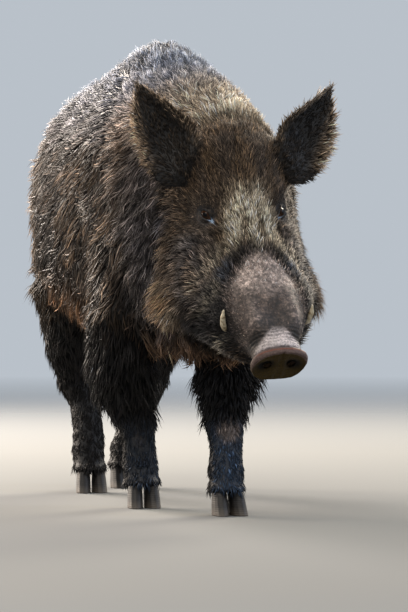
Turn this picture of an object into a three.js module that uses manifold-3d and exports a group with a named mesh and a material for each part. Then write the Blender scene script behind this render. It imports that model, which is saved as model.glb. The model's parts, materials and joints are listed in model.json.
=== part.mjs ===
// A wild boar (Sus scrofa), a full-grown male in winter coat, walking with its head low and a
// little to its left. Millimetres, +Z up. It faces -Y, and its left side is at +X.
// The body is modelled whole, out to the tips of the coat, and then parted with thin cuts.

import * as THREE from "three";
import { mergeVertices } from "three/addons/utils/BufferGeometryUtils.js";
import Module from "manifold-3d";

const wasm = await Module();
wasm.setup();

// ---------- driving sizes ----------

const GAP = 0.35; // between neighbouring pieces
const LEFT = 1;
const RIGHT = -1;
const SIDE_NAMES = { [LEFT]: "left", [RIGHT]: "right" };

// The head has its own frame: its origin is the poll, the bridge of the nose runs along -Y at
// z = 0, and z is square to the bridge.
const HEAD_LENGTH = 509; // poll to nose disc
const POLL = new THREE.Vector3(64, -290, 764);
const HEAD_PITCH = 61; // degrees, nose down
const HEAD_YAW = 4.5; // degrees, towards its left
const HEAD_TILT = -2.7; // degrees, left eye up

const EYE = { x: 71, along: 168, below: 59, radius: 15 };
const ORBIT = { out: 19, ahead: 6, up: 25, radius: 29 }; // from the middle of the eye
const EAR = { length: 166, inner: 50, outer: 83, thick: 10, edge: 1.5, slant: 24, taper: 2.4 };
const EAR_ROOT = { x: 102, along: 44, below: 22 };
const EAR_TURN = { back: 10, aside: { [LEFT]: 41, [RIGHT]: 35 }, open: 12 }; // degrees
const DISC = { halfWidth: 57, halfHeight: 43, thick: 15, centreBelow: 44, lean: -12 };
const NOSTRIL = { x: 25, radius: 10, depth: 12, spread: 8 };
const MOUTH = { corner: 345, below: 98, length: 140, depth: 150 }; // in the head's frame

const CLAW = { height: 46, apart: 17, toeOut: 6 };
const DEWCLAW = { apart: 20, behind: 34, below: 10, toeOut: 14 };

// Where the body is parted.
const HEAD_CUT = { y: -238, bottom: 258 };
const NECK_CUT = { y: -110, z: 650, lean: 16.7, reach: 378 };
const TAIL_CUT = 817;
const FAR = 700; // wider than any cut
const FORWARD = new THREE.Vector3(0, -1, 0);

// ---------- materials ----------

function finish(colour, roughness) {
  return new THREE.MeshStandardMaterial({ color: colour, roughness, metalness: 0 });
}

const bristle = finish(0x3b312a, 0.85);
const darkBristle = finish(0x1f1c1b, 0.85);
const rhinarium = finish(0x4a4140, 0.45);
const ivory = finish(0xd8ccb0, 0.35);
const horn = finish(0x1b1917, 0.5);
const cornea = finish(0x24150c, 0.08);

// ---------- building tools ----------

// A closed geometry from rings of points, all of one count, each end closed by a fan.
function skinOver(rings) {
  const sides = rings[0].length;
  const points = rings.flat();
  const index = [];
  for (let r = 0; r + 1 < rings.length; r++) {
    for (let i = 0; i < sides; i++) {
      const a = r * sides + i;
      const b = r * sides + ((i + 1) % sides);
      index.push(a, a + sides, b, b, a + sides, b + sides);
    }
  }
  const total = (ring) => ring.reduce((sum, p) => sum.add(p), new THREE.Vector3());
  const middleOf = (ring) => total(ring).divideScalar(sides);
  const first = points.push(middleOf(rings[0])) - 1;
  const last = points.push(middleOf(rings[rings.length - 1])) - 1;
  const lastRing = (rings.length - 1) * sides;
  for (let i = 0; i < sides; i++) {
    const next = (i + 1) % sides;
    index.push(first, i, next);
    index.push(last, lastRing + next, lastRing + i);
  }
  return new THREE.BufferGeometry().setFromPoints(points).setIndex(index);
}

const signedPower = (value, power) => Math.sign(value) * Math.abs(value) ** power;

// A limb is a row of rings strung on a smooth line through its stations. A station has its
// centre `at`, its half width `wide`, and its half heights `up` and `down` on either side of the
// centre. `pear` above 0 makes the down side the wider one, `square` above 0 fills the corners
// out, and `crest` above 0 brings the up side to a ridge. `up` points as near as it can to the
// direction upward. `level` keeps every ring square to that vector, and `grow` makes the whole
// limb that much fatter.
function limb(stations, { upward, sides = 12, steps = 1, ends = [0, 0], grow = 0, level = null }) {
  const centres = stations.map((s) => new THREE.Vector3(...s.at));
  const line = new THREE.CatmullRomCurve3(centres, false, "centripetal");
  const sizes = stations.map(({ wide, up, down = up, pear = 0, square = 0, crest = 0 }) => {
    return [wide, up, down, pear, square, crest];
  });
  const places = [...stations.keys()];
  const between = new THREE.CubicInterpolant(places, sizes.flat(), sizes[0].length);
  const last = stations.length - 1;

  function ringAt(place, shrink, push) {
    const centre = line.getPoint(place / last);
    const along = level ? level.clone() : line.getTangent(place / last);
    centre.addScaledVector(along, push);
    const side = along.clone().cross(upward).normalize();
    const up = side.clone().cross(along).normalize();
    const [wide, high, low, pear, square, crest] = between.evaluate(place);
    const ring = [];
    for (let i = 0; i < sides; i++) {
      const angle = (2 * Math.PI * i) / sides;
      const upper = Math.sin(angle) > 0;
      const power = 1 / (1 + square - (upper ? crest : 0));
      const across = signedPower(Math.cos(angle), power) * (1 - pear * Math.sin(angle));
      const tall = signedPower(Math.sin(angle), power) * ((upper ? high : low) + grow);
      ring.push(
        centre
          .clone()
          .addScaledVector(side, across * (wide + grow) * shrink)
          .addScaledVector(up, tall * shrink),
      );
    }
    return ring;
  }

  const rings = [];
  const dome = [70, 35].map(THREE.MathUtils.degToRad);
  if (ends[0]) {
    for (const a of dome) rings.push(ringAt(0, Math.cos(a), -Math.sin(a) * ends[0]));
  }
  const count = last * steps;
  for (let i = 0; i <= count; i++) rings.push(ringAt((i * last) / count, 1, 0));
  if (ends[1]) {
    for (const a of dome.reverse()) rings.push(ringAt(last, Math.cos(a), Math.sin(a) * ends[1]));
  }
  return skinOver(rings);
}

// A part whose stations run along Y in its own frame, each with its top, bottom and half width.
// `level` is the share of the height at which it is widest.
function barrel(stations, options) {
  const placed = stations.map(({ y, x = 0, top, bottom, level = 0.46, ...rest }) => {
    const z = bottom + (top - bottom) * level;
    return { at: [x, y, z], up: top - z, down: z - bottom, ...rest };
  });
  const level = new THREE.Vector3(0, Math.sign(stations[1].y - stations[0].y), 0);
  return limb(placed, { upward: new THREE.Vector3(0, 0, 1), level, ...options });
}

function toSolid(geometry, frame = null) {
  const bare = geometry.clone();
  for (const extra of ["normal", "uv"]) bare.deleteAttribute(extra);
  if (frame) bare.applyMatrix4(frame);
  const merged = mergeVertices(bare, 1e-3);
  return new wasm.Manifold(
    new wasm.Mesh({
      numProp: 3,
      vertProperties: merged.getAttribute("position").array,
      triVerts: new Uint32Array(merged.index.array),
    }),
  );
}

function toGeometry(solid) {
  const { vertProperties, triVerts } = solid.getMesh();
  const geometry = new THREE.BufferGeometry();
  geometry.setAttribute("position", new THREE.BufferAttribute(vertProperties, 3));
  geometry.setIndex(new THREE.BufferAttribute(triVerts, 1));
  const flat = geometry.toNonIndexed();
  flat.computeVertexNormals();
  return flat;
}

// A frame at a position, turned by degrees about X first, then Y, then Z.
function place(position, degrees = [0, 0, 0]) {
  const turn = new THREE.Euler(...degrees.map(THREE.MathUtils.degToRad), "ZYX");
  return new THREE.Matrix4().compose(
    new THREE.Vector3(...position),
    new THREE.Quaternion().setFromEuler(turn),
    new THREE.Vector3(1, 1, 1),
  );
}

// A box-shaped knife. Its frame's origin is the middle of the face that lies in the cut, and the
// knife reaches from there sideways by half of its x and y sizes, and down by all of its z size.
function knife(size, frame, margin = 0) {
  const box = new THREE.BoxGeometry(size[0] + 2 * margin, size[1] + 2 * margin, size[2] + 2 * margin);
  box.translate(0, 0, -size[2] / 2);
  return toSolid(box, frame);
}

const boar = new THREE.Group();

function addNode(name, solid, material) {
  const mesh = new THREE.Mesh(toGeometry(solid), material);
  mesh.name = name;
  boar.add(mesh);
}

// Parts a node off the body and returns what is left, a thin gap away from it.
function partOff(body, name, material, size, frame) {
  addNode(name, body.intersect(knife(size, frame)), material);
  return body.subtract(knife(size, frame, GAP));
}

// ---------- trunk, neck and tail ----------

function trunk() {
  return barrel(
    [
      { y: -190, top: 838, bottom: 310, wide: 120, x: 30 },
      { y: -150, top: 868, bottom: 294, wide: 150, x: 24 },
      { y: -85, top: 914, bottom: 296, wide: 178, x: 18 },
      { y: 0, top: 954, bottom: 304, wide: 196, x: 8, crest: 0.04 },
      { y: 90, top: 969, bottom: 304, wide: 205, x: 4, crest: 0.12 },
      { y: 200, top: 955, bottom: 306, wide: 212, x: 2, crest: 0.18, square: 0.04 },
      { y: 320, top: 925, bottom: 318, wide: 213, crest: 0.14, square: 0.1 },
      { y: 440, top: 895, bottom: 342, wide: 206, square: 0.18 },
      { y: 550, top: 868, bottom: 378, wide: 190, square: 0.22 },
      { y: 650, top: 838, bottom: 420, wide: 168, square: 0.16 },
      { y: 735, top: 794, bottom: 478, wide: 142, square: 0.06 },
      { y: 790, top: 742, bottom: 540, wide: 102 },
    ],
    { sides: 24, steps: 2, ends: [24, 26] },
  );
}

function neck() {
  return barrel(
    [
      { y: 30, x: 12, top: 930, bottom: 310, wide: 180 },
      { y: -60, x: 15, top: 920, bottom: 298, wide: 184, square: 0.06 },
      { y: -110, x: 22, top: 902, bottom: 293, wide: 182, square: 0.12 },
      { y: -160, x: 34, top: 876, bottom: 291, wide: 176, square: 0.16 },
      { y: -205, x: 49, top: 846, bottom: 296, wide: 166, square: 0.2 },
      { y: -240, x: 59, top: 822, bottom: 314, wide: 150, square: 0.2 },
      { y: -264, x: 64, top: 800, bottom: 345, wide: 126, square: 0.1 },
    ],
    { sides: 24, ends: [20, 14] },
  );
}

function tail() {
  return limb(
    [
      { at: [0, 772, 716], wide: 24, up: 24 },
      { at: [4, 826, 676], wide: 19, up: 18 },
      { at: [10, 848, 600], wide: 15, up: 14 },
      { at: [14, 852, 520], wide: 15, up: 14 },
      { at: [15, 850, 456], wide: 20, up: 18 },
      { at: [14, 846, 408], wide: 14, up: 12 },
      { at: [12, 842, 372], wide: 5, up: 5 },
    ],
    { upward: FORWARD, sides: 10, ends: [0, 4] },
  );
}

// ---------- legs ----------

// Upper ends first. `up` is the half depth towards the front and `down` towards the back. A leg
// is cut from the trunk at `hip`, and again level at `wrist`, which is the hock on a hind leg.
const legs = {
  foreleg_left: {
    side: LEFT,
    path: [
      { at: [112, -70, 560], wide: 66, up: 104, down: 96 },
      { at: [118, -78, 455], wide: 68, up: 96, down: 92 },
      { at: [106, -110, 370], wide: 71, up: 80, down: 94 },
      { at: [88, -150, 292], wide: 73, up: 65, down: 82 },
      { at: [73, -186, 228], wide: 64, up: 48, down: 62 },
      { at: [67, -206, 182], wide: 45, up: 40, down: 43 },
      { at: [66, -224, 132], wide: 37, up: 35, down: 37 },
      { at: [62, -240, 86], wide: 40, up: 38, down: 44 },
      { at: [60, -252, 50], wide: 38, up: 38, down: 42 },
      { at: [60, -260, 24], wide: 33, up: 36, down: 34 },
    ],
    foot: [60, -264],
    heading: 5,
    hip: [130, -70, 410],
    lean: 12,
    wrist: 190,
  },
  foreleg_right: {
    side: RIGHT,
    path: [
      { at: [-112, -50, 560], wide: 66, up: 104, down: 96 },
      { at: [-120, -44, 455], wide: 68, up: 96, down: 92 },
      { at: [-112, -32, 370], wide: 68, up: 82, down: 92 },
      { at: [-100, -22, 292], wide: 74, up: 68, down: 80 },
      { at: [-89, -12, 232], wide: 70, up: 52, down: 62 },
      { at: [-66, -4, 182], wide: 47, up: 40, down: 43 },
      { at: [-59, 4, 130], wide: 38, up: 35, down: 37 },
      { at: [-56, 8, 86], wide: 41, up: 38, down: 44 },
      { at: [-54, 0, 50], wide: 38, up: 38, down: 42 },
      { at: [-54, -8, 24], wide: 33, up: 36, down: 34 },
    ],
    foot: [-54, -12],
    heading: -4,
    hip: [-130, -40, 410],
    lean: -12,
    wrist: 190,
  },
  hindleg_left: {
    side: LEFT,
    path: [
      { at: [92, 600, 640], wide: 70, up: 130, down: 110 },
      { at: [110, 590, 545], wide: 74, up: 138, down: 122 },
      { at: [120, 584, 450], wide: 72, up: 122, down: 112 },
      { at: [124, 606, 370], wide: 62, up: 92, down: 88 },
      { at: [126, 640, 306], wide: 54, up: 64, down: 62 },
      { at: [118, 672, 250], wide: 46, up: 48, down: 50 },
      { at: [101, 680, 194], wide: 40, up: 39, down: 42 },
      { at: [76, 672, 134], wide: 37, up: 35, down: 37 },
      { at: [58, 664, 86], wide: 39, up: 38, down: 43 },
      { at: [51, 652, 50], wide: 37, up: 37, down: 41 },
      { at: [50, 643, 24], wide: 32, up: 35, down: 33 },
    ],
    foot: [50, 640],
    heading: 6,
    hip: [140, 590, 460],
    lean: 12,
    wrist: 240,
  },
  hindleg_right: {
    side: RIGHT,
    path: [
      { at: [-92, 590, 640], wide: 68, up: 130, down: 110 },
      { at: [-106, 572, 545], wide: 73, up: 138, down: 122 },
      { at: [-112, 548, 450], wide: 70, up: 122, down: 116 },
      { at: [-105, 546, 370], wide: 58, up: 92, down: 90 },
      { at: [-95, 564, 306], wide: 52, up: 65, down: 63 },
      { at: [-76, 580, 246], wide: 43, up: 47, down: 51 },
      { at: [-55, 568, 190], wide: 38, up: 39, down: 42 },
      { at: [-53, 540, 134], wide: 38, up: 35, down: 38 },
      { at: [-57, 520, 86], wide: 40, up: 38, down: 43 },
      { at: [-57, 505, 50], wide: 37, up: 37, down: 41 },
      { at: [-57, 495, 24], wide: 32, up: 35, down: 33 },
    ],
    foot: [-57, 492],
    heading: -6,
    hip: [-140, 560, 460],
    lean: -12,
    wrist: 236,
  },
};

function leg({ path }, grow = 0) {
  return toSolid(limb(path, { upward: FORWARD, grow }));
}

// One of a foot's two claws: rings laid flat from the coronet down to a level sole.
function claw() {
  const top = CLAW.height - GAP;
  return limb(
    [
      { at: [0, 4, top], wide: 14, up: 22, down: 21 },
      { at: [0, 0, top * 0.5], wide: 15.5, up: 28, down: 25, square: 0.1 },
      { at: [0, -4, 0], wide: 16, up: 36, down: 27, square: 0.15 },
    ],
    { upward: FORWARD, level: new THREE.Vector3(0, 0, -1), sides: 12 },
  );
}

function dewclaw(grow) {
  return limb(
    [
      { at: [0, -4, 22], wide: 8, up: 8 },
      { at: [0, 6, 6], wide: 10, up: 9 },
      { at: [0, 9, -14], wide: 4, up: 4 },
    ],
    { upward: FORWARD, sides: 6, grow },
  );
}

// A leg in two lengths, with its claws, and what is left of the body around it.
function partLeg(body, name, shape) {
  const { side, path, foot, heading, hip, lean, wrist } = shape;
  const size = [FAR, FAR, FAR];
  const hipFrame = place(hip, [0, lean, 0]);
  const wristFrame = place([hip[0], hip[1], wrist]);
  const footFrame = place([hip[0], hip[1], CLAW.height - GAP]);
  const whole = leg(shape).intersect(knife(size, hipFrame));
  const upper = whole.subtract(knife(size, wristFrame, GAP));
  let lower = whole.intersect(knife(size, wristFrame)).subtract(knife(size, footFrame, GAP));
  const fetlock = path[path.length - 3].at;
  for (const hand of [LEFT, RIGHT]) {
    const which = hand === side ? "outer" : "inner";
    const onGround = [foot[0] + hand * CLAW.apart, foot[1], 0];
    const hoof = place(onGround, [0, 0, heading + hand * CLAW.toeOut]);
    addNode(`claw_${name}_${which}`, toSolid(claw(), hoof), horn);
    const aside = fetlock[0] + hand * DEWCLAW.apart;
    const behind = [aside, fetlock[1] + DEWCLAW.behind, fetlock[2] - DEWCLAW.below];
    const spur = place(behind, [0, 0, heading + hand * DEWCLAW.toeOut]);
    lower = lower.subtract(toSolid(dewclaw(GAP), spur));
    addNode(`dewclaw_${name}_${which}`, toSolid(dewclaw(0), spur), horn);
  }
  addNode(`${name}_upper`, upper, darkBristle);
  addNode(`${name}_lower`, lower, darkBristle);
  const hole = leg(shape, GAP).intersect(knife(size, hipFrame, GAP));
  return body.subtract(hole);
}

// ---------- head ----------

const headFrame = place(POLL.toArray(), [HEAD_PITCH, HEAD_TILT, HEAD_YAW]);
const inHead = (frame) => headFrame.clone().multiply(frame);

function skull() {
  return barrel(
    [
      { y: 45, top: -20, bottom: -200, wide: 96 },
      { y: 0, top: 22, bottom: -250, wide: 122, pear: 0.04 },
      { y: -50, top: 24, bottom: -276, wide: 144, pear: 0.12, level: 0.43 },
      { y: -110, top: 12, bottom: -306, wide: 156, pear: 0.22, level: 0.4 },
      { y: -168, top: 2, bottom: -316, wide: 162, pear: 0.3, level: 0.39 },
      { y: -225, top: -6, bottom: -308, wide: 163, pear: 0.36, level: 0.39 },
      { y: -275, top: -8, bottom: -286, wide: 163, pear: 0.36, level: 0.4 },
      { y: -320, top: -8, bottom: -246, wide: 150, pear: 0.32, level: 0.41 },
      { y: -360, top: -6, bottom: -162, wide: 110, pear: 0.18, square: 0.1 },
      { y: -395, top: -5, bottom: -132, wide: 85, pear: 0.08, square: 0.16, level: 0.5 },
      { y: -425, top: -4, bottom: -111, wide: 70, pear: 0.02, square: 0.2, level: 0.52 },
      { y: -455, top: -3, bottom: -98, wide: 55, square: 0.14, level: 0.55 },
      { y: -478, top: -2, bottom: -91, wide: 49, square: 0.08, level: 0.55 },
      { y: -512, top: 0, bottom: -88, wide: 50, square: 0.06, level: 0.55 },
    ],
    { sides: 24, ends: [16, 0] },
  );
}

function lowerJaw() {
  return barrel(
    [
      { y: -230, top: -90, bottom: -300, wide: 134 },
      { y: -300, top: -70, bottom: -266, wide: 140 },
      { y: -360, top: -58, bottom: -218, wide: 124 },
      { y: -410, top: -60, bottom: -176, wide: 99 },
      { y: -446, top: -66, bottom: -144, wide: 71 },
      { y: -470, top: -76, bottom: -120, wide: 44 },
    ],
    { sides: 16, ends: [14, 12] },
  );
}

// The nose disc stands across the end of the snout. Its frame's origin is the middle of its back,
// and -Y is the way that it faces.
const discFrame = inHead(place([0, DISC.thick - HEAD_LENGTH, -DISC.centreBelow], [DISC.lean, 0, 0]));

function noseDisc() {
  const { halfWidth, halfHeight, thick } = DISC;
  const ring = (depth, share) => {
    const size = { wide: halfWidth * share, up: halfHeight * share };
    return { at: [0, -depth, 0], ...size, square: 0.1, pear: -0.06 };
  };
  const plate = limb([ring(0, 0.9), ring(thick * 0.45, 1), ring(thick * 0.8, 0.99), ring(thick, 0.93)], {
    upward: new THREE.Vector3(0, 0, 1),
    level: new THREE.Vector3(0, -1, 0),
    sides: 20,
  });
  let disc = toSolid(plate, discFrame);
  for (const side of [LEFT, RIGHT]) {
    const { radius, depth } = NOSTRIL;
    const pit = new THREE.CylinderGeometry(radius, radius * 0.6, depth * 2, 10);
    const opening = place([side * NOSTRIL.x, -thick, 0], [0, 0, side * NOSTRIL.spread]);
    disc = disc.subtract(toSolid(pit, discFrame.clone().multiply(opening)));
  }
  return disc;
}

// An ear is a tapering shell, open towards the front and filled at its root. In its own frame it
// stands along +Z and opens towards -Y, and its outer edge reaches lower than its inner edge.
function ear(side, grow) {
  const { length, inner, outer, thick, edge, slant, taper } = EAR;
  const half = 3;
  const rings = [-0.22, -0.06, 0.1, 0.28, 0.46, 0.64, 0.82, 0.95, 1].map((v) => {
    const rise = Math.max(v, 0);
    const waist = 1 - taper * Math.max(-v, 0); // the root narrows into the head
    const widths = {
      [side]: outer * waist * (1 - rise ** 2) ** 0.9,
      [-side]: inner * waist * (1 - rise) ** 0.8,
    };
    const cup = 0.3 * (widths[LEFT] + widths[RIGHT]) * (1 - 0.3 * rise);
    const hollow = THREE.MathUtils.smoothstep(v, -0.06, 0.24);
    const lean = 26 * rise * rise - cup * 0.5;
    const pointAt = (u, isBack) => {
      const arch = 1 - u * u;
      const wide = widths[u < 0 ? RIGHT : LEFT] + edge;
      const skin = edge + (thick / 2 - edge) * Math.sqrt(arch) + 2 * grow;
      const depth = isBack ? cup * arch + skin : hollow * cup * arch - skin;
      const height = v * length - side * u * slant * (1 - rise) + Math.sign(v) * grow;
      return new THREE.Vector3(u * (wide + grow), depth + lean, height);
    };
    const across = Array.from({ length: half * 2 + 1 }, (_, i) => i / half - 1);
    const back = across.map((u) => pointAt(u, true));
    const front = across.reverse().map((u) => pointAt(u, false));
    return [...back, ...front];
  });
  return skinOver(rings);
}

// A tusk is a curved, tapering tooth that starts inside the lip. Points are in the head's frame.
const tusks = {
  lower: [
    { at: [58, -392, -96], wide: 8, up: 9 },
    { at: [74, -400, -84], wide: 8, up: 9 },
    { at: [85, -403, -64], wide: 7, up: 8 },
    { at: [90, -397, -45], wide: 5, up: 5.5 },
    { at: [90, -388, -32], wide: 1.5, up: 1.8 },
  ],
  upper: [
    { at: [56, -360, -92], wide: 8, up: 9 },
    { at: [74, -364, -84], wide: 8, up: 8.5 },
    { at: [86, -370, -72], wide: 6, up: 6.5 },
    { at: [91, -374, -62], wide: 2, up: 2.4 },
  ],
};

function tusk(kind, side, grow) {
  const stations = tusks[kind].map((s) => ({ ...s, at: [s.at[0] * side, s.at[1], s.at[2]] }));
  return limb(stations, { upward: FORWARD, sides: 7, grow });
}

function ball(radius) {
  return new THREE.SphereGeometry(radius, 12, 7);
}

// ---------- the whole animal ----------

let body = [trunk(), neck(), tail()].map((shape) => toSolid(shape)).reduce((a, b) => a.add(b));
for (const shape of Object.values(legs)) body = body.add(leg(shape));
body = body.add(toSolid(skull(), headFrame)).add(toSolid(lowerJaw(), headFrame));

for (const [name, shape] of Object.entries(legs)) body = partLeg(body, name, shape);

// The nose disc, the eyes, the ears and the tusks, each a thin gap away from the flesh.
const facingDisc = discFrame.clone().multiply(place([0, 0, 0], [-90, 0, 0]));
body = body.subtract(knife([200, 200, 100], facingDisc, GAP));
addNode("nose_disc", noseDisc(), rhinarium);

for (const side of [LEFT, RIGHT]) {
  const which = SIDE_NAMES[side];

  const eye = inHead(place([side * EYE.x, -EYE.along, -EYE.below]));
  const orbit = eye.clone().multiply(place([side * ORBIT.out, -ORBIT.ahead, ORBIT.up]));
  body = body.subtract(toSolid(ball(ORBIT.radius), orbit));
  body = body.subtract(toSolid(ball(EYE.radius + GAP), eye));
  addNode(`eye_${which}`, toSolid(ball(EYE.radius), eye), cornea);

  const root = new THREE.Vector3(side * EAR_ROOT.x, -EAR_ROOT.along, -EAR_ROOT.below);
  const turn = [EAR_TURN.back, side * EAR_TURN.aside[side], HEAD_YAW + side * EAR_TURN.open];
  const upright = place(root.applyMatrix4(headFrame).toArray(), turn);
  body = body.subtract(toSolid(ear(side, GAP), upright));
  addNode(`ear_${which}`, toSolid(ear(side, 0), upright), darkBristle);

  for (const kind of Object.keys(tusks)) {
    body = body.subtract(toSolid(tusk(kind, side, GAP), headFrame));
    addNode(`tusk_${kind}_${which}`, toSolid(tusk(kind, side, 0), headFrame), ivory);
  }
}

// The jaw below the mouth line, the head, the neck and the tail.
const mouthFrame = inHead(place([0, -MOUTH.corner - MOUTH.length / 2, -MOUTH.below], [2, 0, 0]));
body = partOff(body, "jaw", darkBristle, [300, MOUTH.length, MOUTH.depth], mouthFrame);
const headHeight = 900 - HEAD_CUT.bottom;
const headCut = place([POLL.x, HEAD_CUT.y, HEAD_CUT.bottom + headHeight / 2], [-90, 0, HEAD_YAW]);
body = partOff(body, "head", bristle, [FAR, headHeight, 400], headCut);
const neckCut = place([0, NECK_CUT.y, NECK_CUT.z], [-90 - NECK_CUT.lean, 0, 0]);
body = partOff(body, "neck", bristle, [FAR, 2 * NECK_CUT.reach, 300], neckCut);
body = partOff(body, "tail", bristle, [80, 520, 90], place([8, TAIL_CUT, 560], [90, 0, 0]));
addNode("trunk", body, bristle);

// The origin is on the floor, below the middle of the animal's box.
const box = new THREE.Box3().setFromObject(boar);
const middle = box.getCenter(new THREE.Vector3());
for (const mesh of boar.children) mesh.geometry.translate(-middle.x, -middle.y, -box.min.z);

export default boar;
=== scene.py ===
# A grown wild boar in winter coat, walking with its head low. The skin is one closed mesh made
# from the solids of flesh and set in by the depth of the coat, and the coat over it is made of
# thin solid tufts that follow the lie of the hair. Metres, +Z up; the animal faces -Y.

import json
import math

import bpy
import numpy as np
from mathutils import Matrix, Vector
from mathutils.bvhtree import BVHTree
from mathutils.kdtree import KDTree

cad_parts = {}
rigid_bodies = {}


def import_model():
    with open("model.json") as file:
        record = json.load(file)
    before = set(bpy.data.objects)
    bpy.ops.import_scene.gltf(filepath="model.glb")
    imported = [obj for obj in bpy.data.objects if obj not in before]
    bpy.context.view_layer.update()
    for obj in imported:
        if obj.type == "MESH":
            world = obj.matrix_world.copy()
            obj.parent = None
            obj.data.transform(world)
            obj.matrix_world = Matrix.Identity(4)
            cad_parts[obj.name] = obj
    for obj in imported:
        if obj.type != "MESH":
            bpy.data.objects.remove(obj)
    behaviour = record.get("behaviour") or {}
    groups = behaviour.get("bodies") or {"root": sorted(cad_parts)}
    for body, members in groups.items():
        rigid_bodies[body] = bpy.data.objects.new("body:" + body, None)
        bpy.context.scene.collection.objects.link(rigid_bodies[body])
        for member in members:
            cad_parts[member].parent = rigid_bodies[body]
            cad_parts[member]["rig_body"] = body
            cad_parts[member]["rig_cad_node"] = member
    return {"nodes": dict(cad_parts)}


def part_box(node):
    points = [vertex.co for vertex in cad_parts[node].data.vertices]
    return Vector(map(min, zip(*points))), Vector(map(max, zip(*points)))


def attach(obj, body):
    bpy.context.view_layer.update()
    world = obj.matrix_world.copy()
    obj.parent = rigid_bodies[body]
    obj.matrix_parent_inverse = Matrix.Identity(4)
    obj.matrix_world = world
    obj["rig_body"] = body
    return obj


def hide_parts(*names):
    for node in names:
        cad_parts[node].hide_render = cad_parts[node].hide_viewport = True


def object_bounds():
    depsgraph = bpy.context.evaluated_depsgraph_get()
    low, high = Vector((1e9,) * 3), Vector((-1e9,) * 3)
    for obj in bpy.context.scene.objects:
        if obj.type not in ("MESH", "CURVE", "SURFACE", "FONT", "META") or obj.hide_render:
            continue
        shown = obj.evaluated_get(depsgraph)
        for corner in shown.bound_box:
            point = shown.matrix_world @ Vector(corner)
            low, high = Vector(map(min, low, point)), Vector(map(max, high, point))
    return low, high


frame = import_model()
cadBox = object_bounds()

scene = bpy.context.scene
nodes = frame["nodes"]
boxTop = cadBox[1].z
sides = {"left": 1, "right": -1}
print("the frame is loaded")


# small tools

def unit(vectors):
    return vectors / np.maximum(np.linalg.norm(vectors, axis=-1, keepdims=True), 1e-9)


def rise(values, low, high):
    share = np.clip((values - low) / (high - low), 0, 1)
    return share * share * (3 - 2 * share)  # 0 below low, 1 above high, soft between


def hump(values, middle, width):
    return np.exp(-(((values - middle) / width) ** 2))


def mottle(points, grain, seed):
    # smooth noise from -1 to 1, with patches about a grain across
    scaled = points / grain
    cell = np.floor(scaled).astype(np.int64)
    part = scaled - cell
    part = part * part * (3 - 2 * part)
    total = np.zeros(len(points))
    for corner in np.ndindex(2, 2, 2):
        x, y, z = (cell + corner).T
        # large odd factors scatter the values of neighbouring cells
        scattered = (x * 73856093) ^ (y * 19349663) ^ (z * 83492791) ^ (seed * 971215073)
        scattered = (scattered ^ (scattered >> 13)) * 1274126177 & 0xFFFFFFFF
        weight = np.prod(np.where(corner, part, 1 - part), axis=1)
        total += weight * ((scattered >> 8) & 0xFFFF) / 0xFFFF
    return total * 2 - 1


def linear(hexColour):
    channels = [int(hexColour[i:i + 2], 16) / 255 for i in (1, 3, 5)]
    return [c / 12.92 if c <= 0.04045 else ((c + 0.055) / 1.055) ** 2.4 for c in channels]


def opaque(hexColour):
    return (*linear(hexColour), 1)


def middleOf(name):
    low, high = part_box(name)
    return np.array((low + high) / 2)


def chosen(piece):
    bpy.ops.object.select_all(action="DESELECT")
    piece.select_set(True)
    bpy.context.view_layer.objects.active = piece
    return piece


def withModifier(piece, kind, **settings):
    chosen(piece)
    modifier = piece.modifiers.new(kind.lower(), kind)
    for name, value in settings.items():
        setattr(modifier, name, value)
    bpy.ops.object.modifier_apply(modifier=modifier.name)


def smoothShaded(piece):
    chosen(piece)
    bpy.ops.object.shade_smooth()
    return piece


def readField(items, key, size=3, kind=float):
    flat = np.empty(len(items) * size, kind)
    items.foreach_get(key, flat)
    return flat.reshape(-1, size)


def pointsOf(mesh):
    return readField(mesh.vertices, "co")


def normalsOf(mesh):
    return readField(mesh.vertices, "normal")


def setPoints(mesh, points):
    mesh.vertices.foreach_set("co", points.ravel())
    mesh.update()


def edgesOf(mesh):
    return readField(mesh.edges, "vertices", 2, np.int32)


def giveColour(mesh, name, colours):
    rgba = np.concatenate([np.clip(colours, 0, 1), np.ones((len(colours), 1))], axis=1)
    mesh.attributes.new(name, "FLOAT_COLOR", "POINT").data.foreach_set("color", rgba.ravel())


def giveValue(mesh, name, values):
    mesh.attributes.new(name, "FLOAT", "POINT").data.foreach_set("value", values)


def spread(values, edges, rounds):
    # each point takes the average of its neighbours, over and over
    starts = np.concatenate([edges[:, 0], edges[:, 1]])
    ends = np.concatenate([edges[:, 1], edges[:, 0]])
    count = len(values)
    shares = np.maximum(np.bincount(starts, minlength=count), 1)
    columns = values.reshape(count, -1).copy()
    for _ in range(rounds):
        for c in range(columns.shape[1]):
            around = np.bincount(starts, columns[ends, c], minlength=count) / shares
            columns[:, c] = 0.5 * columns[:, c] + 0.5 * around
    return columns.reshape(values.shape)


def copiesJoined(names, name):
    # one object from merged copies of some of the frame's nodes
    bpy.ops.object.select_all(action="DESELECT")
    for node in names:
        copy = nodes[node].copy()
        copy.data = nodes[node].data.copy()
        copy.parent = None
        scene.collection.objects.link(copy)
        copy.select_set(True)
        bpy.context.view_layer.objects.active = copy
    if len(names) > 1:
        bpy.ops.object.join()
    joined = bpy.context.view_layer.objects.active
    joined.name = name
    joined.data.name = name
    joined.data.materials.clear()
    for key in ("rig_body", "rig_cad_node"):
        del joined[key]
    bpy.ops.object.mode_set(mode="EDIT")
    bpy.ops.mesh.select_all(action="SELECT")
    bpy.ops.mesh.remove_doubles(threshold=1e-6)
    bpy.ops.object.mode_set(mode="OBJECT")
    return joined


def addNode(tree, kind, links=None, **settings):
    node = tree.nodes.new(kind)
    for name, value in settings.items():
        setattr(node, name, value)
    for socket, source in (links or {}).items():
        if isinstance(source, bpy.types.NodeSocket):
            tree.links.new(source, node.inputs[socket])
        else:
            node.inputs[socket].default_value = source
    return node


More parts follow.
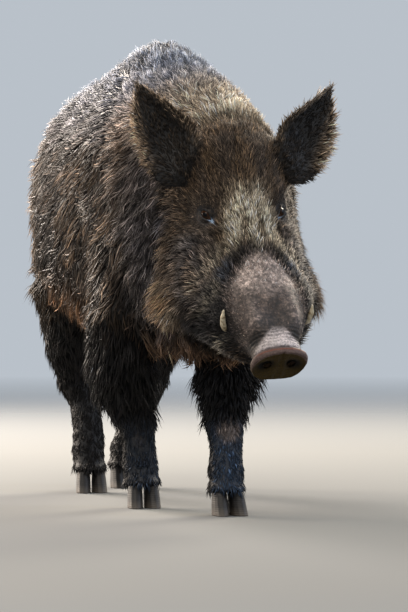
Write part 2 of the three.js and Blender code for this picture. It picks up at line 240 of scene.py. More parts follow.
def newMaterial(name):
    material = bpy.data.materials.new(name)
    material.use_nodes = True
    material.node_tree.nodes.clear()
    return material, material.node_tree


def finishMaterial(tree, shader):
    addNode(tree, "ShaderNodeOutputMaterial", {"Surface": shader.outputs[0]})


# the camera, round the forefeet

cameraView = {
    "azimuth": -13.293,  # degrees from straight ahead, towards the animal's right
    "distance": 6.959,
    "height": 0.483,
    "aimAside": -0.296,  # degrees further round than the forefeet
    "aimDown": 0.606,
    "lens": 205.88,
}


def makeCamera():
    feet = [f"claw_foreleg_{side}_{which}" for side in sides for which in ("outer", "inner")]
    stand = sum(middleOf(foot) for foot in feet) / len(feet)
    azimuth = math.radians(cameraView["azimuth"])
    distance = cameraView["distance"]
    x = stand[0] + math.sin(azimuth) * distance
    y = stand[1] - math.cos(azimuth) * distance
    data = bpy.data.cameras.new("camera")
    data.lens = cameraView["lens"]
    data.clip_end = 100
    camera = bpy.data.objects.new("camera", data)
    camera.location = (x, y, cameraView["height"])
    tilt = math.radians(90 - cameraView["aimDown"])
    turn = azimuth + math.radians(cameraView["aimAside"])
    camera.rotation_euler = (tilt, 0, turn)
    scene.collection.objects.link(camera)
    scene.camera = camera


makeCamera()


# the head's own directions, from its eyes and its nose disc

eyeMiddle = {side: middleOf(f"eye_{side}") for side in sides}
headOrigin = (eyeMiddle["left"] + eyeMiddle["right"]) / 2
headLeft = unit(eyeMiddle["left"] - eyeMiddle["right"])
faceLine = middleOf("nose_disc") - headOrigin
headAhead = unit(faceLine - headLeft * (faceLine @ headLeft))
headOver = np.cross(headAhead, headLeft)
faceLength = float(np.linalg.norm(faceLine))  # between the eyes and the nose disc
headAxes = np.stack([headAhead, headLeft, headOver], axis=1)
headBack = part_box("head")[1].y


def inHead(points):
    # ahead, left and over, as shares of the face's length
    return (points - headOrigin) @ headAxes / faceLength


def fromHead(ahead, left, over):
    return headOrigin + headAxes @ np.array([ahead, left, over]) * faceLength


def bothSides(head):
    # ahead, aside and over, the same on the left and on the right
    return head[:, 0], np.abs(head[:, 1]), head[:, 2]


# the pelt: how deep, how long and what colour the coat is at each place

fleshNodes = [n for n in nodes if n in ("trunk", "neck", "head", "jaw", "tail")]
fleshNodes += [n for n in nodes if n.startswith(("ear_", "foreleg_", "hindleg_"))]
withinSkin = fleshNodes + ["eye_left", "eye_right"]  # the balls of the eyes fill their sockets


def regionOf(node):
    if node.startswith("ear"):
        return "ear"
    if node.endswith("_upper"):
        return "thigh"
    if node.endswith("_lower"):
        return "shank"
    return "head" if node.startswith("eye") else node


# depth of the skin below the tips, length, width and lift of a tuft
peltRegions = {
    "trunk": {"depth": 0.024, "length": 0.050, "width": 0.0034, "lift": 24},
    "neck": {"depth": 0.026, "length": 0.050, "width": 0.0030, "lift": 26},
    "head": {"depth": 0.008, "length": 0.016, "width": 0.0013, "lift": 26},
    "jaw": {"depth": 0.008, "length": 0.020, "width": 0.0016, "lift": 26},
    "tail": {"depth": 0.008, "length": 0.034, "width": 0.0030, "lift": 18},
    "ear": {"depth": 0.0012, "length": 0.014, "width": 0.0018, "lift": 16},
    "thigh": {"depth": 0.012, "length": 0.034, "width": 0.0034, "lift": 22},
    "shank": {"depth": 0.0055, "length": 0.014, "width": 0.0024, "lift": 16},
}
regionNames = list(peltRegions)

peltColours = {
    "under": "#120e0c",  # near the skin, everywhere; also painted shade in the hollows of the bridge and beside the neck of the snout
    "brown": "#4a3b2b",  # forehead and neck
    "tan": "#8a6d4d",  # tips on the cheeks and flanks
    "cream": "#d8ccb4",  # between the eyes and by the tusks
    "silver": "#687080",  # along the back: the hair's own silver tips, with a painted blue tint of the sky's light
    "slate": "#3c4048",  # between the lighter locks, and the painted shade on the neck behind the head
    "rust": "#8a6340",  # belly, throat and inside the thighs
    "black": "#101013",  # legs, chin and rim of the bare bridge; also painted shade on the middle of the flank and a painted shadow of the brow over the eyes
    "charcoal": "#2a292a",  # sides of the muzzle, and painted shade in the hollows of the eyes
    "bare": "#91827a",  # bridge of the nose
    "velvet": "#33271f",  # short hair over the lower half of the snout
    "inside": "#0f0c09",  # ears
    "fringe": "#a08a73",  # painted sheen of the sky on the fronts of the shins and on the dark fringe of the bridge
    "sheen": "#3e5068",  # fronts of the shins
    "snout": "#c2b6b3",  # wrinkled neck of the snout
    "lid": "#332b26",  # bare skin round the eyes
    "skyInTear": "#a6bdd8",  # painted reflection of the sky in the wet inner corners of the eyes
}
palette = {name: np.array(linear(value)) for name, value in peltColours.items()}


def mixed(base, name, share):
    return base + (palette[name] - base) * share[:, None]


def painted(base, marks, where):
    # lays colours over one another in turn, each by its name and its share at every point
    for name, share in marks:
        base = mixed(base, name, share * where)
    return base


def among(region, *names):
    # 1 where a point belongs to one of the named regions, 0 elsewhere
    return np.isin(region, [regionNames.index(name) for name in names]).astype(float)


def snoutBare(head):
    # the bare bridge: a rounded wedge that widens from between the eyes to the disc
    ahead, left, over = head.T
    halfWidth = 0.03 + 0.185 * rise(ahead, 0.26, 0.56) - 0.05 * rise(ahead, 0.66, 0.86)
    within = 1 - rise(np.abs(left), halfWidth * 0.80, halfWidth * 1.15)
    return rise(ahead, 0.30, 0.38) * within * rise(over, -0.15, 0.0)


def snoutMargin(head):
    # the dark fringe round the top and sides of the bare bridge
    wider = snoutBare(head * [1, 0.62, 1] + [0.03, 0, 0.05])
    return np.clip(wider - snoutBare(head), 0, 1) * (1 - rise(head[:, 0], 0.80, 0.92))


def snoutRidges(head):
    # the two low ridges on the lower half of the bridge, and the hollows beside them
    ahead, aside = head[:, 0], np.abs(head[:, 1])
    ridges = hump(aside, 0.125, 0.04) * hump(ahead, 0.74, 0.12)
    valley = hump(aside, 0, 0.06) * hump(ahead, 0.77, 0.08)
    slopes = hump(aside, 0.13 + 0.2 * (0.86 - ahead), 0.03) * hump(ahead, 0.86, 0.04)
    return ridges, valley + 0.8 * slopes


kneeSettings = {
    "drop": {"left": 0.017, "right": 0.055},  # below the end of the upper leg
    "strength": {"left": 1.0, "right": 0.5},
    "core": 0.016,
    "edge": 0.031,
}


def kneePatches(points):
    # 1 where the hair on the front of a foreleg is worn tan, fainter on the right one
    patches = np.zeros(len(points))
    for side in sides:
        upper = pointsOf(nodes[f"foreleg_{side}_upper"].data)
        ring = upper[upper[:, 2] < upper[:, 2].min() + 0.01]
        knee = ring[ring[:, 1].argmin()] - [0, 0, kneeSettings["drop"][side]]
        away = np.linalg.norm(points - knee, axis=1)
        patch = 1 - rise(away, kneeSettings["core"], kneeSettings["edge"])
        patches = np.maximum(patches, kneeSettings["strength"][side] * patch)
    return patches


# the marks below give the colours at the tips of the hair and at its roots, one over another;
# heights are shares of the animal's, and places on the head are shares of the face's length
def bodyMarks(points, patches, specks):
    # brown and slate locks, silver along the back, rust below, with painted shade behind the head and
    # on the middle of the flank
    x, y, height = points[:, 0], points[:, 1], points[:, 2] / boxTop
    # painted shade: the neck just behind the head darkened towards slate
    shadeBehindHead = hump(y, headBack + 0.02, 0.07) * (1 - rise(height, 0.66, 0.80))
    # painted shade: the middle of the flank darkened towards black, partly its own dark locks and
    # mostly the shade of a side turned from the light
    flank = rise(y, -0.10, 0.10) * (1 - rise(y, 0.22, 0.40)) * (1 - rise(height, 0.60, 0.80))
    rear = rise(y, 0.10, 0.50) * rise(height, 0.4, 0.55)
    crest = hump(x - middleOf("neck")[0], 0, 0.10) * rise(height, 0.62, 0.80)
    # the back's own silver tips; their blue tint is painted sky light on the top of the back
    silver = np.maximum(rise(height, 0.72, 0.95), crest * 0.8)
    below = 1 - rise(height, 0.32, 0.44)
    armpit = hump(y, 0.12, 0.13) * hump(height, 0.39, 0.08)
    nape = hump(y, headBack, 0.06) * rise(height, 0.72, 0.82) * hump(x, headOrigin[0], 0.14)
    tips = [
        ("tan", rise(patches, -0.2, 0.7) * 0.5),
        ("slate", 0.12 + 0.55 * rise(specks, -0.1, 0.6)),
        ("slate", shadeBehindHead * 0.45),
        ("black", flank * (0.74 + 0.24 * patches)),
        ("tan", rear * 0.2),
        ("silver", silver * 0.9),
        ("rust", np.clip(np.maximum(below, armpit * 1.3), 0, 1) * 0.55),
        ("fringe", np.clip(nape * 1.3, 0, 0.9)),
        ("cream", nape * 0.35),
    ]
    return tips, [("slate", silver * 0.35), ("rust", armpit * 0.3)]


def headMarks(head, patches, specks):
    # brown forehead, cream between and below the eyes, dark round the bare bridge, with painted shade
    # in the hollows of the eyes and of the bridge and a painted bluish sheen on the dark fringe
    ahead, aside, over = bothSides(head)
    streaks = mottle(head * [6, 24, 10], 1.0, 12)
    cheek = rise(ahead, 0.0, 0.15) * rise(aside, 0.16, 0.30)
    cream = rise(ahead, -0.12, 0.12) * (1 - rise(ahead, 0.27, 0.42))
    cream = cream * (1 - rise(aside, 0.02 + 0.08 * rise(ahead, -0.1, 0.2), 0.18))
    trail = hump(aside - 0.9 * (ahead - 0.20), 0.11, 0.06) * rise(ahead, 0.15, 0.25)
    trail = trail * (1 - rise(ahead, 0.34, 0.50)) * rise(streaks, -0.8, 0.4)
    pale = np.maximum(cream * rise(streaks, -0.9, 0.3), trail * 0.25)
    crown = 1 - rise(ahead, -0.68, -0.46)
    temple = hump(ahead, -0.12, 0.07) * hump(aside, 0.43, 0.05)
    cheekPatch = hump(ahead - 0.7 * (aside - 0.27), 0.53, 0.045) * hump(aside, 0.27, 0.045)
    cheekPatch = cheekPatch * rise(over, -0.26, -0.12)
    # painted shade: the hollows round the eyes darkened towards charcoal
    socket = hump(ahead, 0.02, 0.15) * hump(aside, 0.23, 0.10)
    muzzleSide = rise(ahead, 0.50, 0.64) * rise(aside, 0.14, 0.24) * (1 - cheekPatch)
    chin = rise(ahead, 0.42, 0.58) * (1 - rise(over, -0.22, -0.08))
    throat = 1 - rise(over, -0.50, -0.30)
    ruff = rise(aside, 0.37, 0.46) * rise(ahead, -0.15, 0.05)
    ruff = np.maximum(ruff, throat * rise(-over, 0.56, 0.66) * 0.7)
    whiskers = hump(ahead, 0.74, 0.03) * hump(aside, 0.21, 0.03) * rise(specks, 0.1, 0.5)
    margin = snoutMargin(head)
    # painted sheen of the sky: streaks of the dark fringe tinted slate and blue
    bluish = margin * rise(streaks, 0, 0.5) * (1 - rise(ahead, 0.46, 0.60))
    bare = snoutBare(head)
    dusk = bare * rise(ahead + 0.35 * aside, 0.52, 0.68)
    ridges, hollows = snoutRidges(head)
    tips = [
        ("charcoal", rise(streaks, 0.0, 0.7) * 0.45),
        ("slate", cheek * (0.35 + 0.30 * rise(specks, -0.4, 0.4))),
        ("fringe", cheek * rise(streaks, -0.2, 0.5) * 0.30),
        ("cream", pale * 0.86),
        ("fringe", crown * 0.9),
        ("cream", crown * 0.5),
        ("silver", temple * 0.9),
        ("cream", cheekPatch * 0.95),
        ("charcoal", socket * 0.55),
        ("charcoal", muzzleSide * 0.75),
        ("black", chin * 0.72),
        ("black", throat * 0.4),
        ("tan", np.clip(ruff * (0.70 + 0.35 * patches), 0, 1)),
        ("cream", ruff * rise(specks, 0.1, 0.6) * 0.30),
        ("cream", whiskers * 0.35),
        ("black", margin * 0.85),
        ("slate", bluish * 0.5),
        ("sheen", bluish * 0.2),
        ("bare", bare),
        ("velvet", dusk * 0.9),
        ("bare", bare * ridges * 0.35),
        # painted shade: the hollows of the bridge darkened towards the root colour
        ("under", bare * np.clip(hollows * 0.85, 0, 1)),
    ]
    return tips, [("bare", bare * 0.5), ("velvet", dusk * 0.8)]


def legMarks(points):
    # near black, with worn tan knees
    dark = 1 - rise(points[:, 2] / boxTop, 0.36, 0.46)
    worn = kneePatches(points)
    return [("black", dark * 0.93), ("bare", worn)], [("black", dark * 0.5), ("bare", worn * 0.5)]


def markings(points, region):
    # colours at the root and at the tip of the hair
    patches, specks = mottle(points, 0.05, 1), mottle(points, 0.016, 2)
    marks = {
        ("trunk", "neck"): bodyMarks(points, patches, specks),
        ("head", "jaw"): headMarks(inHead(points), patches, specks),
        ("thigh", "shank"): legMarks(points),
        ("ear",): ([("inside", np.full(len(points), 0.9))], []),
    }
    root = np.repeat(palette["under"][None], len(points), axis=0)
    tip = np.repeat(palette["brown"][None], len(points), axis=0)
    for regions, (tips, roots) in marks.items():
        where = among(region, *regions)
        root = painted(root, roots, where)
        tip = painted(tip, tips, where)
    return root, tip


print("the pelt is laid out")


# the skin

skinSettings = {
    "voxel": 0.0035,
    "rounds": {"trunk": 1.0, "neck": 1.0, "head": 0.3, "jaw": 0.3, "tail": 0.2, "ear": 0.16,
               "thigh": 0.9, "shank": 0.25},  # share of the smoothing that each region takes
    "smoothing": 110,
    "kept": 0.30,  # share of the faces that stay, all of them on the head
    "earWidth": 0.91,  # of the solid ear, which reaches to the fringe's tips
    "earTip": 0.006,
}


def nearestRegions(points):
    corners, faces, owners = [], [], []
    for name in withinSkin:
        mesh = nodes[name].data
        start = len(corners)
        corners += [v.co.copy() for v in mesh.vertices]
        faces += [[start + i for i in face.vertices] for face in mesh.polygons]
        owners += [regionNames.index(regionOf(name))] * len(mesh.polygons)
    tree = BVHTree.FromPolygons(corners, faces)
    return np.array([owners[tree.find_nearest(p)[2]] for p in points.tolist()])


def byRegion(region, key):
    return np.array([peltRegions[name][key] for name in regionNames])[region]


def weigh(piece, name, weights):
    group = piece.vertex_groups.new(name=name)
    levels = np.round(weights, 2)
    for level in np.unique(levels):
        group.add(np.flatnonzero(levels == level).tolist(), float(level), "REPLACE")


def earAxes(side):
    # the root of an ear, its own directions and its length, from the shape of its solid
    points = pointsOf(nodes[f"ear_{side}"].data)
    centre = points.mean(axis=0)
    up, across, out = np.linalg.svd(points - centre, full_matrices=False)[2]
    up = up * np.sign(up[2])
    out = out * -np.sign(out[1])
    heights = (points - centre) @ up
    return {"root": centre + up * heights.min(), "up": up, "across": across, "out": out,
            "length": float(np.ptp(heights))}


earShapes = {side: earAxes(side) for side in sides}


def inEar(points, side):
    # height above the root as a share of the ear's length, and places across and out of it
    ear = earShapes[side]
    offset = points - ear["root"]
    return offset @ ear["up"] / ear["length"], offset @ ear["across"], offset @ ear["out"]


def narrowEars(points, region):
    # draws the ears in from the tips of their fringe
    for side, sign in sides.items():
        height, width, _ = inEar(points, side)
        mine = (region == regionNames.index("ear")) & (inHead(points)[:, 1] * sign > 0)
        share = np.where(mine, rise(height, 0.1, 0.4), 0)
        narrowed = width * (1 - skinSettings["earWidth"]) * share
        lowered = skinSettings["earTip"] * rise(height, 0.6, 1) * share
        points -= earShapes[side]["across"] * narrowed[:, None]
        points -= earShapes[side]["up"] * lowered[:, None]
    return points


# eyes: the lids hug the ball and leave an almond opening
eyeSettings = {
    "gaze": (0.22, 0.62, 0.75),  # ahead, aside and over
    "slant": 0.75,  # how far the inner corner turns in towards the middle of the face
    "opening": 0.96,  # half width, as the sine of the angle from the gaze
    "upper": 0.46,
    "lower": 0.42,
    "lid": 0.0020,  # its thickness over the ball
    "lidEdge": 0.0012,  # how much thicker it is along the opening
    "lidFold": 0.0014,
    "behind": 0.78,  # where the skin passes behind the opening, as a share of the ball's radius
    "blend": 0.014,
    "tearStart": 0.8,  # of the ball's radius from its middle
    "tearTurn": 0.4,  # how far the trough turns in towards the middle of the face
    "tearLength": 0.026,
    "tearWidth": 0.0026,
    "tearDepth": 0.0012,
    "barePlace": (0.016, -0.004),  # towards the inner corner, and up
    "bareSize": 0.014,
}
eyeRadius = float(max(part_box("eye_left")[1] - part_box("eye_left")[0])) / 2


def eyeAxes(side):
    ahead, aside, over = eyeSettings["gaze"]
    gaze = unit(headAxes @ np.array([ahead, aside * sides[side], over]))
    inward = headAhead - headLeft * sides[side] * eyeSettings["slant"]
    corner = unit(inward - gaze * (inward @ gaze))  # towards the inner corner
    lift = np.cross(gaze, corner)
    return gaze, corner, lift * np.sign(lift[2])


def inEye(points, side):
    # along the slit, across it and out of the eye, and the distance from its middle
    offset = points - eyeMiddle[side]
    distance = np.linalg.norm(offset, axis=1)
    gaze, corner, lift = eyeAxes(side)
    turned = offset / np.maximum(distance, 1e-6)[:, None]
    return turned @ corner, turned @ lift, turned @ gaze, distance


def openness(along, across):
    # 1 well inside the slit, 0 on the lids
    reach = 1 - (along / eyeSettings["opening"]) ** 2
    half = np.where(across > 0, eyeSettings["upper"], eyeSettings["lower"])
    return 1 - rise(np.abs(across) - half * np.maximum(reach, -1), -0.05, 0.03)


def tearTrough(points, side):
    # the wet trough that runs from the inner corner of the eye towards the snout
    gaze, corner, _ = eyeAxes(side)
    offset = points - eyeMiddle[side] - corner * eyeRadius * eyeSettings["tearStart"]
    run = unit(headAhead - headLeft * sides[side] * eyeSettings["tearTurn"])
    aside = unit(np.cross(gaze, run))
    reach = offset @ run
    length = eyeSettings["tearLength"]
    within = rise(reach, -0.004, 0.002) * (1 - rise(reach, length * 0.75, length))
    near = rise(offset @ gaze, -0.016, -0.010)
    width = eyeSettings["tearWidth"] * (1.2 - 0.4 * rise(reach, 0, length))
    return within * near * hump(offset @ aside, 0, width)


def bareRound(points, side):
    # bare skin below and ahead of the eye
    _, corner, lift = eyeAxes(side)
    inward, upward = eyeSettings["barePlace"]
    away = points - eyeMiddle[side] - corner * inward - lift * upward
    return hump(np.linalg.norm(away, axis=1), 0, eyeSettings["bareSize"])


def shapeLids(points):
    for side in sides:
        along, across, out, distance = inEye(points, side)
        opened = openness(along, across) * (out > 0)
        nearSlit = openness(along * 0.82, across * 0.72) * (out > 0)
        edge = np.clip(nearSlit - opened, 0, 1)
        fold = (hump(across, 0.72, 0.10) - hump(across, 0.92, 0.12)) * (out > 0)
        overBall = eyeRadius + eyeSettings["lid"]
        lid = overBall + eyeSettings["lidEdge"] * edge - eyeSettings["lidFold"] * fold
        target = lid * (1 - opened) + eyeRadius * eyeSettings["behind"] * opened
        share = 1 - rise(distance, overBall + 0.001, eyeRadius + eyeSettings["blend"])
        share = share * rise(out, -0.2, 0.25)
        change = (target - distance) * share - eyeSettings["tearDepth"] * tearTrough(points, side)
        outward = (points - eyeMiddle[side]) / np.maximum(distance, 1e-6)[:, None]
        points += outward * change[:, None]
    return points


snoutSettings = {
    "waist": 0.885,  # the narrow place behind the disc, as a share of the face's length
    "wrinkle": 0.021,  # from one wrinkle to the next, as the same share
    "wrinkleDepth": 0.0011,
    "ridge": 0.007,
    "hollow": 0.006,
}

# soft forms on both sides of the head: ahead, aside and over, their size, all as shares of the
# face's length, and how far they stand out in metres
headForms = {
    "brow": (-0.10, 0.21, 0.12, 0.09, 0.010),
    "hollow ahead of the eye": (0.17, 0.20, 0.06, 0.08, -0.006),
    "cheekbone": (0.12, 0.34, -0.05, 0.10, 0.004),
    "hollow above the cheek teeth": (0.36, 0.27, 0.0, 0.12, -0.005),
    "lip lifted by the lower tusk": (0.66, 0.25, -0.06, 0.07, 0.007),
}


def snoutFolds(head):
    # fine wrinkles across the neck of the snout
    ahead, left, over = head.T
    bent = ahead + 0.10 * left ** 2 + 0.004 * np.sin(left * 40)
    waves = np.sin(bent * 2 * math.pi / snoutSettings["wrinkle"])
    return waves * hump(ahead, snoutSettings["waist"], 0.05) * rise(over, -0.05, 0.05)


def headRelief(head):
    # how far the skin stands out or in, in metres
    ahead, aside, over = bothSides(head)
    relief = np.zeros(len(head))
    for a, b, c, size, height in headForms.values():
        relief += height * hump(ahead, a, size) * hump(aside, b, size) * hump(over, c, size * 1.5)
    ridges, hollows = snoutRidges(head)
    bridge = snoutSettings["ridge"] * ridges - snoutSettings["hollow"] * hollows
    relief += bridge * rise(over, -0.02, 0.08)
    above = rise(over, -0.1, 0.1)
    relief -= 0.004 * hump(ahead, snoutSettings["waist"], 0.03) * above
    relief += 0.004 * rise(ahead, 0.92, 0.99) * above  # up to the rim of the disc
    relief += snoutSettings["wrinkleDepth"] * snoutFolds(head)
    mouth = hump(over, -0.16 + 0.04 * (ahead - 0.5), 0.012)
    relief -= 0.006 * mouth * rise(ahead, 0.48, 0.54) * rise(aside, 0.05, 0.10)
    return relief


def splitFaces(piece, keep):
    # halves the edges of the faces whose middles pass the test
    chosen(piece)
    mesh = piece.data
    mesh.vertices.foreach_set("select", np.zeros(len(mesh.vertices), bool))
    mesh.edges.foreach_set("select", np.zeros(len(mesh.edges), bool))
    mesh.polygons.foreach_set("select", keep(readField(mesh.polygons, "center")))
    bpy.ops.object.mode_set(mode="EDIT")
    bpy.ops.mesh.select_mode(type="FACE")
    bpy.ops.mesh.subdivide(number_cuts=1)
    bpy.ops.object.mode_set(mode="OBJECT")


def eyeDistance(points):
    return np.min([np.linalg.norm(points - eyeMiddle[side], axis=1) for side in sides], axis=0)


def skinDepth(points, region, edges):
    # how deep the skin lies below the tips of the coat
    ahead = inHead(points)[:, 0]
    isHead = among(region, "head")
    depth = byRegion(region, "depth") * (1 - isHead * 0.75 * rise(ahead, 0.15, 0.5))
    depth = depth + isHead * 0.016 * (1 - rise(ahead, -0.60, -0.30))
    depth = depth * (1 - 0.7 * rise(-eyeDistance(points), -0.045, -0.02))
    depth = spread(depth, edges, 60)
    return depth * rise(points[:, 2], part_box("claw_foreleg_left_outer")[1].z, 0.07)


def makeSkin():
    skin = copiesJoined(withinSkin, "skin")
    withModifier(skin, "REMESH", mode="VOXEL", voxel_size=skinSettings["voxel"])
    points = pointsOf(skin.data)
    region = nearestRegions(points)
    shares = np.array([skinSettings["rounds"][name] for name in regionNames])[region]
    crown = 1 - rise(inHead(points)[:, 0], -0.62, -0.40)
    weigh(skin, "smoothing", np.maximum(shares, crown * among(region, "head")))
    withModifier(skin, "SMOOTH", iterations=skinSettings["smoothing"], factor=0.5,
                 vertex_group="smoothing")
    print("the flesh is joined and smoothed")

    points = pointsOf(skin.data)
    depth = skinDepth(points, region, edgesOf(skin.data))
    points -= normalsOf(skin.data) * depth[:, None]
    setPoints(skin.data, narrowEars(points, region))
    headward = (points[:, 1] < headBack) & (points[:, 2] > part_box("head")[0].z)
    weigh(skin, "body", 1.0 - headward)
    withModifier(skin, "DECIMATE", ratio=skinSettings["kept"], vertex_group="body")
    print("the skin is drawn in")

    splitFaces(skin, lambda middles: eyeDistance(middles) < 0.034)
    splitFaces(skin, lambda middles: eyeDistance(middles) < 0.024)
    splitFaces(skin, lambda middles: inHead(middles)[:, 0] > 0.78)
    points = pointsOf(skin.data)
    onHead = 1 - rise(points[:, 1], headBack - 0.03, headBack)
    points += normalsOf(skin.data) * (headRelief(inHead(points)) * onHead)[:, None]
    setPoints(skin.data, shapeLids(points))
    skin.vertex_groups.clear()
    return smoothShaded(skin)


skin = makeSkin()
print("the skin is shaped:", len(skin.data.vertices), "points")


# fields over the skin: which way the hair lies, how long it is and what colour

lieSettings = {
    "start": (1.10, 0.0, 0.12),  # the face's hair runs away from a point ahead of the disc
    "flank": (0.0, 0.62, -0.78),
    "back": (0.0, 0.95, 0.30),
    "chest": (0.0, 0.15, -1.0),
    "leg": (0.0, 0.10, -1.0),
    "rounds": 14,  # how softly one lie turns into the next
}
skinMesh = skin.data
skinPoints = pointsOf(skinMesh)
skinNormals = normalsOf(skinMesh)
skinEdges = edgesOf(skinMesh)
skinRegion = nearestRegions(skinPoints)
skinHead = inHead(skinPoints)


def isRegion(*names):
    return among(skinRegion, *names)


def rimOfEar():
    # 1 on the edge of an ear, 0 on the middle of its faces, from its outline height by height,
    # and how far out to the side of the head the edge is
    rim = np.zeros(len(skinPoints))
    outer = np.zeros(len(skinPoints))
    bins = 24
    for side, sign in sides.items():
        mine = (isRegion("ear") > 0) & (skinHead[:, 1] * sign > 0)
        height, width, _ = inEar(skinPoints[mine], side)
        height = np.clip(height, 0, 1)
        level = np.minimum((height * bins).astype(int), bins - 1)
        share = np.zeros(len(width))
        for here in (level == k for k in range(bins)):
            if here.any():
                middle = (width[here].max() + width[here].min()) / 2
                share[here] = np.abs(width[here] - middle) / max(np.ptp(width[here]) / 2, 1e-4)
        edge = rise(share, 0.60, 0.94) * rise(height, 0.20, 0.35)
        rim[mine] = np.maximum(edge * (1 - rise(height, 0.80, 0.95)), 0.3 * rise(height, 0.85, 0.95))
        aside = skinPoints[mine] @ headLeft * sign
        outer[mine] = rise(aside - np.median(aside), -0.01, 0.03)
    return rim, outer


def headLie():
    left, over = skinHead[:, 1], skinHead[:, 2]
    lie = unit(skinPoints - fromHead(*lieSettings["start"]))
    lie[:, 2] -= 0.10 + 0.9 * rise(-over, 0.02, 0.5) + 1.2 * rise(np.abs(left), 0.26, 0.44)
    for side in sides:
        away = skinPoints - eyeMiddle[side]
        distance = np.linalg.norm(away, axis=1)
        parted = 2.2 * hump(distance, 0, 0.032) / np.maximum(distance, 1e-6)
        lie += away * parted[:, None]
    return unit(lie)


def bodyLie():
    y, height = skinPoints[:, 1], skinPoints[:, 2] / boxTop
    top = rise(height, 0.72, 0.93)[:, None]
    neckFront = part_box("neck")[0].y
    front = (1 - rise(y, neckFront + 0.05, neckFront + 0.22)) * (1 - rise(height, 0.5, 0.75))
    front = front[:, None]
    lie = np.array(lieSettings["flank"]) * (1 - top) + np.array(lieSettings["back"]) * top
    return unit(lie * (1 - front) + np.array(lieSettings["chest"]) * front)


def earLie():
    lie = np.zeros_like(skinPoints)
    for side, sign in sides.items():
        width = inEar(skinPoints, side)[1]
        edge = rise(np.abs(width), 0.02, 0.055) * np.sign(width)
        mine = (skinHead[:, 1] * sign > 0)[:, None]
        ear = earShapes[side]
        lie += np.where(mine, ear["up"] * 0.8 + ear["across"] * (edge * 1.8)[:, None], 0)
    return unit(lie)


def layLie():
    lie = headLie() * isRegion("head", "jaw")[:, None]
    lie += bodyLie() * isRegion("trunk", "neck")[:, None]
    lie += earLie() * isRegion("ear")[:, None]
    lie += np.array(lieSettings["leg"]) * isRegion("thigh", "shank", "tail")[:, None]
    lie = spread(lie, skinEdges, lieSettings["rounds"])
    lie -= skinNormals * np.sum(lie * skinNormals, axis=1)[:, None]
    return unit(lie)


def layLengths():
    # length, width and lift of the tufts
    ahead, aside, over = bothSides(skinHead)
    y, z = skinPoints[:, 1], skinPoints[:, 2]
    height = z / boxTop
    isHead = isRegion("head", "jaw")
    length = byRegion(skinRegion, "length")
    lift = byRegion(skinRegion, "lift").astype(float)
    width = byRegion(skinRegion, "width")

    # the face's hair grows longer from the snout back to the ruff, the throat and the crown
    face = 1.25 - 0.95 * rise(ahead, 0.25, 0.80) * rise(over, -0.20, -0.06)
    face += 0.9 * rise(aside, 0.28, 0.46) * (1 - rise(ahead, 0.45, 0.7))
    face += 0.7 * rise(-over, 0.25, 0.55) * (1 - rise(ahead, 0.6, 0.85))
    face -= 0.55 * rise(ahead, 0.80, 0.95)
    face = np.maximum(face, 0.3) + 0.8 * (1 - rise(ahead, -0.60, -0.35))
    length = length * (1 + isHead * (face - 1))
    lift = lift + 12 * isHead * rise(aside, 0.30, 0.44)
    margin = snoutMargin(skinHead) * isHead
    length = length * (1 + 0.5 * margin)
    lift = lift + 16 * margin
    lids = 1 - rise(eyeDistance(skinPoints), 0.022, 0.045)
    length = length * (1 - 0.75 * lids)
    lift = lift - 8 * lids
    bare = snoutBare(skinHead) * isHead
    length = length * (1 - (0.66 - 0.26 * rise(ahead, 0.56, 0.72)) * bare)
    width = width * (1 - 0.15 * bare) * (1 - 0.3 * lids)

    isBody = isRegion("trunk", "neck")
    mane = isBody * rise(height, 0.78, 0.93)
    nape = isRegion("neck") * hump(y, headBack, 0.08) * rise(height, 0.66, 0.78)
    width = width * (1 - 0.60 * mane) * (1 - 0.4 * nape)
    length = length * (1 - 0.42 * mane) * (1 - 0.4 * nape)
    waves = mottle(skinPoints * [1.0, 1.0, 0.55], 0.030, 7)
    lift = lift + 6 * mane + 12 * isBody * waves

    elbow = isRegion("thigh") * (y < 0) * hump(height, 0.30, 0.06)
    coronet = isRegion("shank") * (1 - rise(z, 0.052, 0.066))
    length = length * (1 + 0.5 * elbow) * (1 + 0.3 * coronet)
    length = length * (1 + earRim * (0.2 + 0.75 * outerEar))
    lift = lift + 16 * elbow - 6 * earRim
    return spread(np.stack([length, width, lift], axis=1), skinEdges, 12)


def layCover():
    # share of the full number of tufts
    ahead, aside, over = bothSides(skinHead)
    isHead = isRegion("head", "jaw")
    wrinkled = rise(ahead, 0.83, 0.90) * rise(over, -0.16, -0.04) * (1 - 0.7 * rise(aside, 0.07, 0.12))
    cover = (1 - isHead * snoutBare(skinHead) * 0.45) * (1 - isHead * wrinkled)
    for side in sides:
        along, across, out, distance = inEye(skinPoints, side)
        near = 1 - rise(distance, eyeRadius + 0.004, eyeRadius + 0.010)
        slit = openness(along * 0.84, across * 0.74)
        cover *= 1 - np.clip(near * slit * (out > 0), 0, 1)
        cover *= 1 - np.clip(1.5 * tearTrough(skinPoints, side), 0, 1)
        cover *= 1 - 0.35 * bareRound(skinPoints, side)
    lids = 1 - rise(eyeDistance(skinPoints), eyeRadius + 0.008, eyeRadius + 0.020)
    return cover * (1 + 2.0 * earRim * isRegion("ear") + 0.8 * lids)


